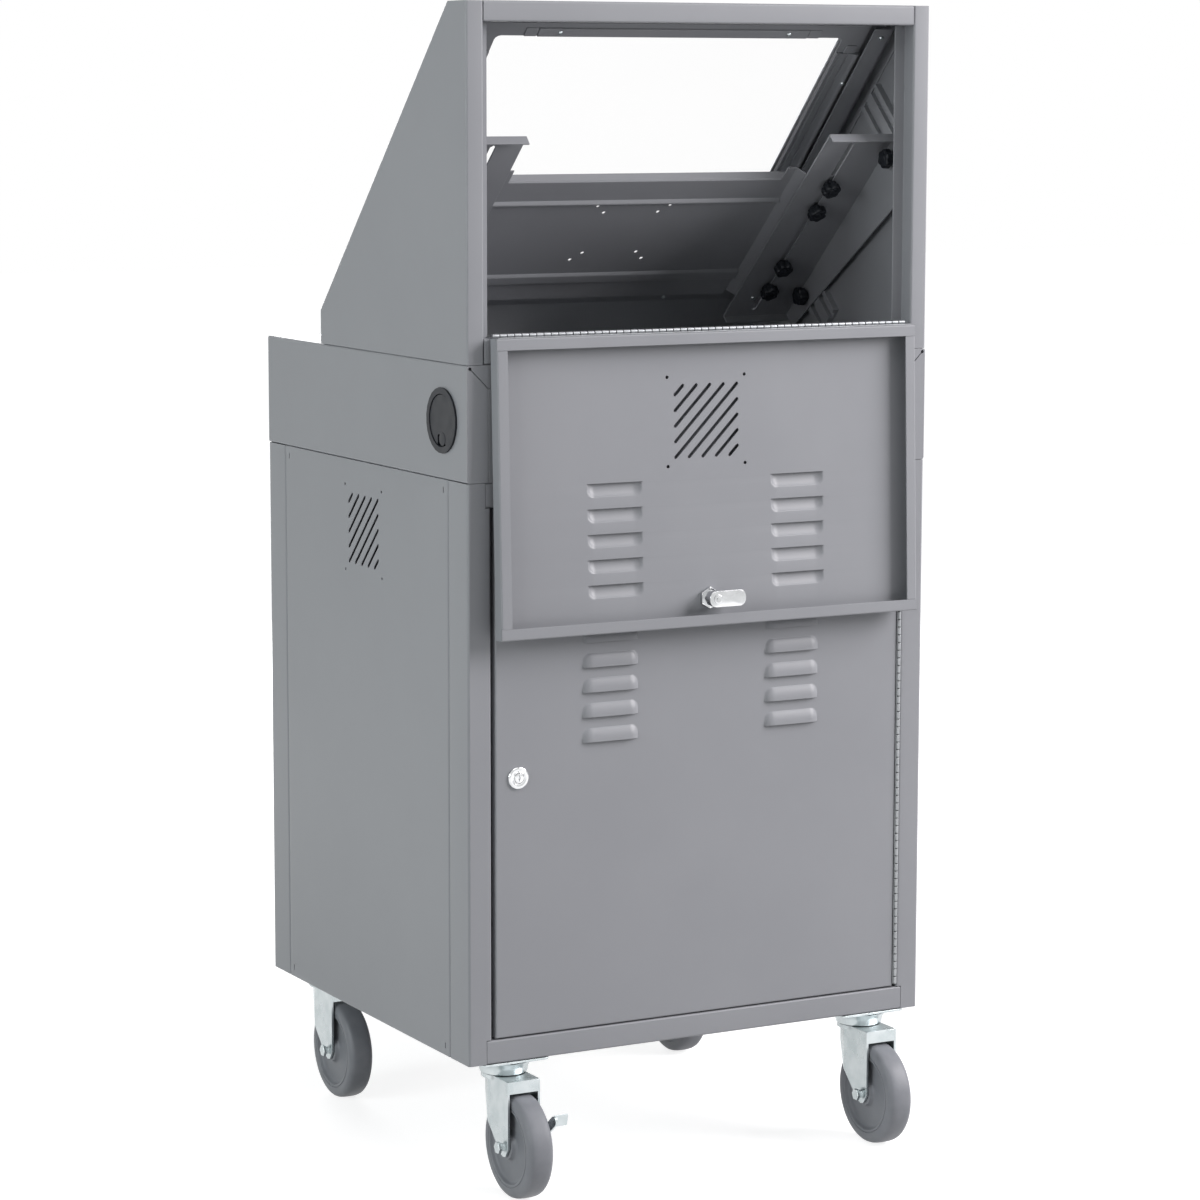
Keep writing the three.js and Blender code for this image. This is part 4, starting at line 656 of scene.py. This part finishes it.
def vent(centre, lean):
    """Long holes at 45 degrees that fill a square, and a screw hole beyond each of its corners."""
    tools = []
    for k in range(-VENT_PAIRS, VENT_PAIRS + 1):
        run = (VENT_SPAN - abs(k) * VENT_STEP) * math.sqrt(2)
        at = (centre[0] + lean * k * VENT_STEP / 2, centre[1] - k * VENT_STEP / 2)
        tools.append(slab(long_round(run, VENT_SLOT, at, lean * 45), -CUT_DEPTH, CUT_DEPTH))
    for a in (-VENT_SCREW_OUT, VENT_SCREW_OUT):
        for b in (-VENT_SCREW_OUT, VENT_SCREW_OUT):
            hole = long_round(ROUND, VENT_SLOT, (centre[0] + a, centre[1] + b))
            tools.append(slab(hole, -CUT_DEPTH, CUT_DEPTH))
    return tools


def lock_hole(u, v):
    """The round hole that a lock's barrel fills."""
    return slab(long_round(ROUND, LOCK_HOLE, (u, v), steps=17), -CUT_DEPTH, CUT_DEPTH)


LOUVERS, LOUVER_PITCH = 5, 29.7
UPPER_FIRST, LOWER_FIRST = 175.5, 373.7
UPPER_MOUTHS = UPPER_FIRST + LOUVER_PITCH * np.arange(LOUVERS)
LOWER_MOUTHS = LOWER_FIRST + LOUVER_PITCH * np.arange(LOUVERS)
# Each outline is left, right, foot and head, in the door's frame.
UPPER_OUTLINE = (-283, 283, 2.9, 350)
TALL_OUTLINE = (-275.9, 275.35, 30, 656)
VENT_AT = (0, 107.5)
UPPER_LOCK_AT = (0, 318)
TALL_LOCK_AT = (-246.35, 339)
DOOR_EDGE = 0.25
upper_door = door_sheet("upper_door_sheet", UPPER, *UPPER_OUTLINE, UPPER_MOUTHS)
cut_by(upper_door, UPPER, vent(VENT_AT, -1) + [lock_hole(*UPPER_LOCK_AT)])
placed(upper_door, "rear_upper_door", GREY_PAINT, "rear_upper_door", width=DOOR_EDGE)
lower_door = door_sheet("lower_door_sheet", REAR_LOWER, *TALL_OUTLINE, LOWER_MOUTHS)
cut_by(lower_door, REAR_LOWER, [lock_hole(*TALL_LOCK_AT)])
placed(lower_door, "rear_lower_door", GREY_PAINT, "rear_lower_door", width=DOOR_EDGE)
front_door = door_sheet("front_door_sheet", FRONT, *TALL_OUTLINE, [])
cut_by(front_door, FRONT, [lock_hole(*TALL_LOCK_AT)])
placed(front_door, "front_door", GREY_PAINT, "front_door", width=DOOR_EDGE)
print("door faces:", [len(door.data.polygons) for door in (upper_door, lower_door, front_door)])

# %% [markdown]
# ## Piano hinges
# A piano hinge is two thin leaves whose edges are rolled into short knuckles, by turns, round one pin.
# Bare steel shows as a row of bright dashes. Each knuckle is a small barrel with broken edges.

# %% Knuckles and leaves
KNUCKLE = 9.6
KNUCKLE_GAP = 0.9
KNUCKLE_RADIUS = 2.3
KNUCKLE_EDGE = 0.35
KNUCKLE_SIDES = 20
LEAF_NEAR, LEAF_FAR = 1.75, 2.9
LEAF_DEEP, LEAF_TOP = -16, -0.4


def knuckles(length, own):
    """Barrels along x at every second place: each a profile (x, r) spun round x."""
    count = 2 * round(length / KNUCKLE / 2) + 1
    pitch = length / count
    places = (np.arange(own, count, 2) + 0.5) * pitch - length / 2
    half, full = (pitch - KNUCKLE_GAP) / 2, KNUCKLE_RADIUS
    along = np.array([-half, -half, KNUCKLE_EDGE - half, half - KNUCKLE_EDGE, half, half])
    reach = np.array([0, full - KNUCKLE_EDGE, full, full, full - KNUCKLE_EDGE, 0])
    angle = np.linspace(0, 2 * math.pi, KNUCKLE_SIDES, endpoint=False)
    x = places[:, None, None] + along[None, :, None] + 0 * angle
    y = reach[:, None] * np.cos(angle) + 0 * x
    z = reach[:, None] * np.sin(angle) + 0 * x
    return np.stack([x, y, z], -1)


def hinge(name, place, length, own, body, side):
    """The knuckles and the leaf of one half, on its body."""
    placed(surface(name + "_knuckles", place, knuckles(length, own)), body, STEEL)
    leaf = slab(oblong(-length / 2, length / 2, LEAF_NEAR, LEAF_FAR), LEAF_DEEP, LEAF_TOP)
    leaf[..., 1] *= side
    placed(surface(name + "_leaf", place, leaf), body, STEEL)


TALL_HINGE_OUT = 278.25
TALL_HINGE_MIDDLE = DOORWAY_FOOT + (TALL_OUTLINE[2] + TALL_OUTLINE[3]) / 2
UPPER_LENGTH, TALL_LENGTH = 560, 620
rear_pin = (-TALL_HINGE_OUT, REAR_SKIN + HINGE_PROUD, TALL_HINGE_MIDDLE)
front_pin = (TALL_HINGE_OUT, FRONT_SKIN - HINGE_PROUD, TALL_HINGE_MIDDLE)
LOWER_HINGE = frame_of(rear_pin, (0, 0, 1), (1, 0, 0))
FRONT_HINGE = frame_of(front_pin, (0, 0, 1), (-1, 0, 0))
UPPER_FRAME = frame_of(UPPER_PIN, (-1, 0, 0), (0, 0, 1))
hinge("upper_hinge_door", UPPER_HINGE, UPPER_LENGTH, 1, "rear_upper_door", 1)
hinge("upper_hinge_frame", UPPER_FRAME, UPPER_LENGTH, 0, "cabinet", -1)
hinge("lower_hinge_door", LOWER_HINGE, TALL_LENGTH, 1, "rear_lower_door", 1)
hinge("lower_hinge_frame", LOWER_HINGE, TALL_LENGTH, 0, "cabinet", -1)
hinge("front_hinge_door", FRONT_HINGE, TALL_LENGTH, 1, "front_door", 1)
hinge("front_hinge_frame", FRONT_HINGE, TALL_LENGTH, 0, "cabinet", -1)
print("hinge knuckles for a tall door:", len(knuckles(TALL_LENGTH, 0)) + len(knuckles(TALL_LENGTH, 1)))

# %% [markdown]
# ## Cam locks
# A cam lock's barrel goes through the door and a hex nut holds it from behind. The plug turns in the
# barrel with the key, and the flat cam on its end swings behind the frame. All of it is plated bright.

# %% Barrels, nuts, plugs and cams
# Profiles are (r, z) from the door's skin, in mm; the barrel's is closed, as a tube's.
BARREL = [
    (6.4, -22), (9.1, -22), (9.5, -21.6), (9.5, -0.2), (13.4, -0.1), (13.5, 0.9), (12.7, 2.3), (11.2, 2.9),
    (9.2, 2.7), (8.0, 2.3), (7.6, 2.9), (6.9, 3.2), (6.4, 3.0), (6.4, -22),
]
PLUG = [(0, -24.4), (6, -24.4), (6, 3.1), (5.6, 3.5), (0, 3.5)]
KEYWAY, KEY_RIB = (-3.5, 3.5, -0.7, 0.7), (-1.1, 1.1, -1.5, 1.5)
KEYWAY_FLOOR, KEYWAY_TOP = 1.4, 6
CAM, CAM_CORNER = (-10.5, 38.5, -9.75, 9.75), 8.5
CAM_LOW, CAM_HIGH, CAM_EDGE = -24.6, -22.4, 0.5
CAM_SCREW = [
    (0, -27), (2.1, -27), (2.1, -26), (2.9, -26), (4.9, -26.2), (5.4, -25.8), (5.4, -24.5), (0, -24.5),
]
NUT_HOLE, NUT_FLAT, NUT_LOW = 9.3, 11.3, -6.6
NUT_EDGE, NUT_CORNER = 0.5, 0.9
NUT_SOFT, PLUG_SOFT = 0.1, 0.12


def hex_reach(reach, angle):
    """r = r / cos(t from the middle of each flat): six flats at the given reach."""
    turn = (angle + math.pi / 6) % (math.pi / 3) - math.pi / 6
    return reach / np.cos(turn)


def hex_nut(inner, flat, low, high):
    """A nut with its six corners turned down on both sides."""
    rim = np.array([0, 1, 0, 0, 1, 0, 0], bool)[:, None]

    def reach(radius, angle):
        sharp = hex_reach(radius, angle)
        turned_down = np.minimum(sharp, radius + NUT_CORNER)
        return np.where(radius <= inner, radius + 0 * angle, np.where(rim, turned_down, sharp))

    profile = [(inner, low), (flat, low), (flat, low + NUT_EDGE), (flat, high - NUT_EDGE), (flat, high),
               (inner, high), (inner, low)]
    return spun(profile, 72, reach)


def lock(place, door, node):
    """A barrel with its collar and nut on the door, and the plug and cam in place of the node."""
    placed(surface(node + "_barrel", place, spun(BARREL)), door, CHROME)
    nut = surface(node + "_nut", place, hex_nut(NUT_HOLE, NUT_FLAT, NUT_LOW, -SHEET))
    placed(nut, door, CHROME, width=NUT_SOFT)
    plug = surface(node + "_plug", place, spun(PLUG))
    cut_by(plug, place, [slab(oblong(*cut), KEYWAY_FLOOR, KEYWAY_TOP) for cut in (KEYWAY, KEY_RIB)])
    placed(plug, node, CHROME, node, width=PLUG_SOFT)
    cam = surface(node + "_cam", place, slab(oblong(*CAM, CAM_CORNER), CAM_LOW, CAM_HIGH, CAM_EDGE))
    placed(cam, node, CHROME)
    placed(surface(node + "_screw", place, spun(CAM_SCREW, 32)), node, CHROME)


lock(shifted(UPPER, *UPPER_LOCK_AT), "rear_upper_door", "rear_upper_lock")
lock(shifted(REAR_LOWER, *TALL_LOCK_AT, turn=-90), "rear_lower_door", "rear_lower_lock")
lock(shifted(FRONT, *TALL_LOCK_AT, turn=-90), "front_door", "front_lock")
print("locks ready")

# %% [markdown]
# ## Clamp knobs
# The monitor plate and its brackets are held by moulded knobs. Six lobes give the fingers a grip, so the
# rim is a circle with six shallow flutes, and the top is dished round a raised button.

# %% Knobs
KNOB_LOBES = 6
FLUTE_DEPTH, FLUTE_SHARPNESS = 0.2, 1.6
KNOB_RIM = 9.5
KNOB = [
    (0, -7.6), (2.2, -7.6), (2.5, -7.3), (2.5, -0.1), (6.6, 0), (7, 0.4), (7, 3.8), (9.6, 4), (11.3, 4.7),
    (12, 6), (12, 12.6), (11.5, 14), (10.2, 14.9), (8.8, 15), (8, 14.5), (5.2, 14.2), (4.8, 14.6), (3.5, 15),
    (0, 15.1),
]
PLATE_KNOB_OUT, PLATE_KNOB_SEAT = 244, -16.4
PLATE_KNOBS_ALONG = (104, 60, -47, -93)
SIDE_KNOB_OUT = 298.35
SIDE_KNOBS_ALONG_AND_BEHIND = ((170, 34), (-97, 30))
# No two knobs are left at the same turn, in degrees.
PLATE_KNOB_TURN, SIDE_KNOB_FIRST_TURN, SIDE_KNOB_TURN = 23, 11, 31


def knob_reach(radius, angle):
    """r x (1 - depth x (half a wave, six times round)^sharpness), and r where it is within the rim."""
    flute = (0.5 - 0.5 * np.cos(KNOB_LOBES * angle)) ** FLUTE_SHARPNESS
    return radius * (1 - FLUTE_DEPTH * flute * (radius > KNOB_RIM))


def knob(node, seat, turn):
    """A knob in a frame, turned by degrees, in place of the node."""
    moulding = surface(node + "_moulding", shifted(seat, turn=turn), knob_surface)
    placed(moulding, node, BLACK, node)


def at(place, u, v, w):
    """The point (u, v, w) of a frame, in mm."""
    return (place @ np.array([u, v, w, 1]))[:3]


knob_surface = spun(KNOB, 60, knob_reach)
for side, word in ((1, "right"), (-1, "left")):
    for number, along in enumerate(PLATE_KNOBS_ALONG, 1):
        spot = at(PLATE, side * PLATE_KNOB_OUT, along, PLATE_KNOB_SEAT)
        seat = frame_of(spot, (1, 0, 0), -PLATE[:3, 1])
        knob(f"plate_knob_{word}_{number}", seat, PLATE_KNOB_TURN * number)
    for number, (along, behind) in enumerate(SIDE_KNOBS_ALONG_AND_BEHIND, 1):
        spot = at(PLATE, side * SIDE_KNOB_OUT, along, -behind)
        seat = frame_of(spot, PLATE[:3, 1], np.cross((-side, 0, 0), PLATE[:3, 1]))
        knob(f"side_knob_{word}_{number}", seat, SIDE_KNOB_FIRST_TURN + SIDE_KNOB_TURN * number)
print("knob points:", knob_surface.shape)

# %% [markdown]
# ## Casters
# A 5 inch wheel of grey rubber on a grey core runs on a bolt through a zinc-plated fork. The fork hangs
# from a cupped ball race under the mounting plate.

# %% Wheels and races
WHEEL_HALF_PROFILE = [
    (4.6, 17.4), (7.5, 17.6), (14.2, 17.5), (15, 16.9), (16.2, 13), (18.5, 11.6), (22, 11.1), (40, 10.6),
    (43.2, 11.2), (44.6, 13), (45.2, 15.2), (46.2, 15.9), (48.2, 16), (48.7, 15.2), (49.2, 15.2), (49.8, 16),
    (54, 16.1), (57.2, 15.6), (59.6, 14.2), (61.4, 12.2), (62.3, 9.8), (62.8, 6.2), (62.93, 3), (62.95, 0),
]
half = np.array(WHEEL_HALF_PROFILE)
wheel_profile = np.r_[half, half[-2::-1] * [1, -1]]
wheel_profile = np.r_[wheel_profile, wheel_profile[:1]]
wheel_surface = spun(wheel_profile, 96)
RACE = [
    (0, 159), (33.2, 159), (34, 158.6), (33.6, 157.6), (30.8, 154), (29.4, 150.4), (28.8, 146), (28.2, 144.6),
    (26, 144.1), (0, 144.1),
]
MOUNT, MOUNT_CORNER = (-44, 44, -34, 34), 4
MOUNT_LOW, MOUNT_HIGH, MOUNT_EDGE = 159.6, 162.6, 0.5
CASTER_OUT = 248.6
CASTER_REAR, CASTER_FRONT = 218.697, -283.303
TRAIL = 40
AXLE_HEIGHT = 62.957
for end, y in (("rear", CASTER_REAR), ("front", CASTER_FRONT)):
    for word, x in (("right", CASTER_OUT), ("left", -CASTER_OUT)):
        corner = f"{end}_{word}"
        axle = frame_of((x, y + TRAIL, AXLE_HEIGHT), (0, 1, 0), (0, 0, 1))
        tyre = surface(f"tyre_{corner}", axle, wheel_surface)
        placed(tyre, f"wheel_{corner}", RUBBER, f"wheel_{corner}")
        stand = frame_of((x, y, 0), (1, 0, 0), (0, 1, 0))
        mounting = slab(oblong(*MOUNT, MOUNT_CORNER), MOUNT_LOW, MOUNT_HIGH, MOUNT_EDGE)
        mounting = surface(f"mounting_plate_{corner}", stand, mounting)
        placed(mounting, "cabinet", ZINC, f"caster_plate_{corner}")
        placed(surface(f"race_{corner}", stand, spun(RACE, 64)), "cabinet", ZINC)
print("wheel points:", wheel_surface.shape)

# %% [markdown]
# ## Window frame and small fixings
# From inside, the clear sheet is held by folded strips that are screwed over its edge. Each strip is a
# profile carried along a straight path: a flat beside the sheet, a groove, and a round bead that stiffens
# it. Angle strips beside them stiffen the panel. Domed screws catch the light as bright points. In each
# grommet's cap a small round flap nearly fills the cable notch, so the notch shows as a dark curl.

# %% Strips, angles, tabs and screws
BEHIND = frame_of(SLOPE[:3, 3], (1, 0, 0), -SLOPE[:3, 2])
ACROSS = frame_of(SLOPE[:3, 3], SLOPE[:3, 1], -SLOPE[:3, 2])
SIDE_STRIP = [
    (236.4, 6), (236.4, 8.6), (240, 8.6), (240.6, 7), (241.8, 7), (242.4, 9.4), (250.4, 9.4), (250.9, 8.2),
    (252.1, 8.2), (252.6, 9.4), (260, 9.6), (262, 11.2), (264.6, 12), (267.2, 11.4), (269, 9.4), (269.6, 6),
]
END_STRIP = [(469.6, 6), (469.6, 8.4), (471, 9), (481, 9), (482.4, 8.4), (483, 6)]
ANGLE_STRIP = [(291.5, 1.6), (291.5, 16.6), (290.6, 17.5), (266.5, 17.5), (266.5, 16), (290, 16), (290, 1.6)]
SIDE_STRIP_RUN, ANGLE_STRIP_RUN = (54, 446), (40, 494)
CLIP_NEAR, CLIP_FAR, CLIP_FOOT, CLIP_HEAD, CLIP_CORNER = 246, 262, 438, 458, 3
CLIP_LOW, CLIP_HIGH = -8.6, -5.8
END_STRIP_HALF = 183
END_STRIP_DROP = -422
TAB_NEAR, TAB_FAR, TAB_THINNING = 184, 200, 0.93
STRIP_SCREWS_OUT, STRIP_SCREWS_ALONG, STRIP_SCREWS_DEEP = 264.4, (398, 230, 90), -11.6
ANGLE_SCREWS_OUT, ANGLE_SCREWS_ALONG, ANGLE_SCREWS_DEEP = 281, (480, 250, 62), -17.3
END_SCREW_OUT, END_SCREW_ALONG, END_SCREW_DEEP = 155, 477, -8.9
PANEL_SCREW, PANEL_SCREW_RADIUS = (170, 7, -1.6), 2.6
BRACKET_SCREW, BRACKET_SCREW_RADIUS = (233.7, -116, -16), 3.4
GROMMET_OUT, GROMMET_BACK, GROMMET_HEIGHT = 311.55, 189.697, 917.7
FLAP = [(0, -1.2), (8, -1.2), (8, 1.5), (7.6, 1.9), (0, 2)]
FLAP_AT = (2.6, -21.6)
STRIP_EDGE, ANGLE_EDGE, CLIP_EDGE = 0.5, 0.3, 0.4
SCREW_RADIUS, SCREW_RISE, SCREW_FOOT = 3.0, 1.9, -1
# A screw's dome runs up to 75 degrees. Its recess is given as shares of the radius and of the rise.
SCREW_DOME = np.radians(np.linspace(0, 75, 6))
RECESS_REACH, RECESS_RIM, RECESS_FLOOR = 0.2, 0.55, 0.5


def fixed(name, place, rings):
    """A painted piece of the fixed cabinet."""
    placed(surface(name, place, rings), "cabinet", GREY_PAINT)


def screw(name, place, body="cabinet", radius=SCREW_RADIUS, rise=SCREW_RISE):
    """A domed screw head with a driver recess: a profile (r, z) spun round z."""
    dome = zip(radius * np.cos(SCREW_DOME), rise * np.sin(SCREW_DOME))
    recess = [(radius * RECESS_REACH, rise * RECESS_RIM), (0, rise * RECESS_FLOOR)]
    profile = np.array([(0, SCREW_FOOT), (radius, SCREW_FOOT), *dome, *recess])
    placed(surface(name, place, spun(profile, 20)), body, ZINC)


def screw_on(name, place, u, v, w, **more):
    """A screw that faces the hood's inside, at a point of a frame that slopes."""
    screw(name, frame_of(at(place, u, v, w), (-1, 0, 0), place[:3, 1]), **more)


# Here the names say left and right as in the picture, where +x is left. The cable flaps and the pieces of
# all other cells are named as the operator sees them. The two monitor brackets slide as one.
for side, word in ((1, "left"), (-1, "right")):
    mirror = np.array([side, 1])
    strip = slab(np.array(SIDE_STRIP) * mirror, *SIDE_STRIP_RUN, STRIP_EDGE)
    fixed(f"window_strip_{word}", BEHIND, strip)
    fixed(f"panel_angle_{word}", BEHIND, slab(np.array(ANGLE_STRIP) * mirror, *ANGLE_STRIP_RUN, ANGLE_EDGE))
    clip = oblong(*sorted((side * CLIP_NEAR, side * CLIP_FAR)), CLIP_FOOT, CLIP_HEAD, CLIP_CORNER)
    fixed(f"window_clip_{word}", SLOPE, slab(clip, CLIP_LOW, CLIP_HIGH, CLIP_EDGE))
    for number, along in enumerate(STRIP_SCREWS_ALONG, 1):
        screw_on(f"strip_screw_{word}_{number}", SLOPE, side * STRIP_SCREWS_OUT, along, STRIP_SCREWS_DEEP)
    for number, along in enumerate(ANGLE_SCREWS_ALONG, 1):
        screw_on(f"angle_screw_{word}_{number}", SLOPE, side * ANGLE_SCREWS_OUT, along, ANGLE_SCREWS_DEEP)
for end, drop in (("top", 0), ("bottom", END_STRIP_DROP)):
    place = shifted(ACROSS, u=drop)
    fixed(f"window_strip_{end}", place, slab(END_STRIP, -END_STRIP_HALF, END_STRIP_HALF, STRIP_EDGE))
    for side, word in ((1, "left"), (-1, "right")):
        tab = slab(END_STRIP, *sorted((side * TAB_NEAR, side * TAB_FAR)), STRIP_EDGE)
        fixed(f"window_tab_{end}_{word}", place, tab * [1, TAB_THINNING, 1])
        along = END_SCREW_ALONG + drop
        screw_on(f"end_screw_{end}_{word}", SLOPE, side * END_SCREW_OUT, along, END_SCREW_DEEP)
for side, word in ((1, "left"), (-1, "right")):
    out, along, deep = PANEL_SCREW
    screw_on(f"panel_screw_{word}", SLOPE, side * out, along, deep, radius=PANEL_SCREW_RADIUS)
    out, along, deep = BRACKET_SCREW
    screw_on(f"bracket_screw_{word}", PLATE, side * out, along, deep, body=f"monitor_bracket_{word}",
             radius=BRACKET_SCREW_RADIUS)
for side, word in ((1, "right"), (-1, "left")):
    seat = frame_of((side * GROMMET_OUT, GROMMET_BACK, GROMMET_HEIGHT), (0, side, 0), (0, 0, 1))
    flap = surface(f"cable_flap_{word}", shifted(seat, *FLAP_AT), spun(FLAP))
    placed(flap, f"grommet_cap_{word}", BLACK)
print("window frame and cable flaps ready")

# %% [markdown]
# ## The other sheets and mouldings
# What is left keeps its CAD shape with softened edges. Where a hinge leaf was part of a post or sill,
# it is cut off first, because the hinges above stand in its place.

# %% Dressed nodes
# For each slot, its finish and the width of its softened edges in mm.
FINISH_OF = {
    "grey_paint": (GREY_PAINT, 0.35),
    "zinc_plate": (ZINC, 0.3),
    "black_plastic": (BLACK, 0.4),
    "clear_plastic": (PANE, 0.3),
}
HINGE_CUT_DEEP, HINGE_CUT_REACH = -17, 9
SILL_CUT_HALF, POST_CUT_HALF = 300, 340


def hinge_cut(half):
    """A block round a hinge's frame leaf and pin, a given half length either way."""
    return slab(oblong(-half, half, -LEAF_FAR, HINGE_CUT_REACH), HINGE_CUT_DEEP, HINGE_CUT_REACH)


BARE_HINGE = {
    "hood_sill": (UPPER_FRAME, hinge_cut(SILL_CUT_HALF)),
    "post_rear_left": (LOWER_HINGE, hinge_cut(POST_CUT_HALF)),
    "post_front_right": (FRONT_HINGE, hinge_cut(POST_CUT_HALF)),
}
REBUILT = (
    "rear_upper_door", "rear_lower_door", "front_door", "rear_upper_lock", "rear_lower_lock", "front_lock",
)
REBUILT_GROUPS = ("plate_knob", "side_knob", "wheel_", "caster_plate")
for node, slot_name in SLOTS.items():
    if node in REBUILT or node.startswith(REBUILT_GROUPS):
        continue
    material, width = FINISH_OF[slot_name]
    made = merged_copy(node)
    if node in BARE_HINGE:
        cut_by(made, BARE_HINGE[node][0], [BARE_HINGE[node][1]])
    placed(made, BODY_OF[node], material, node, width=width)
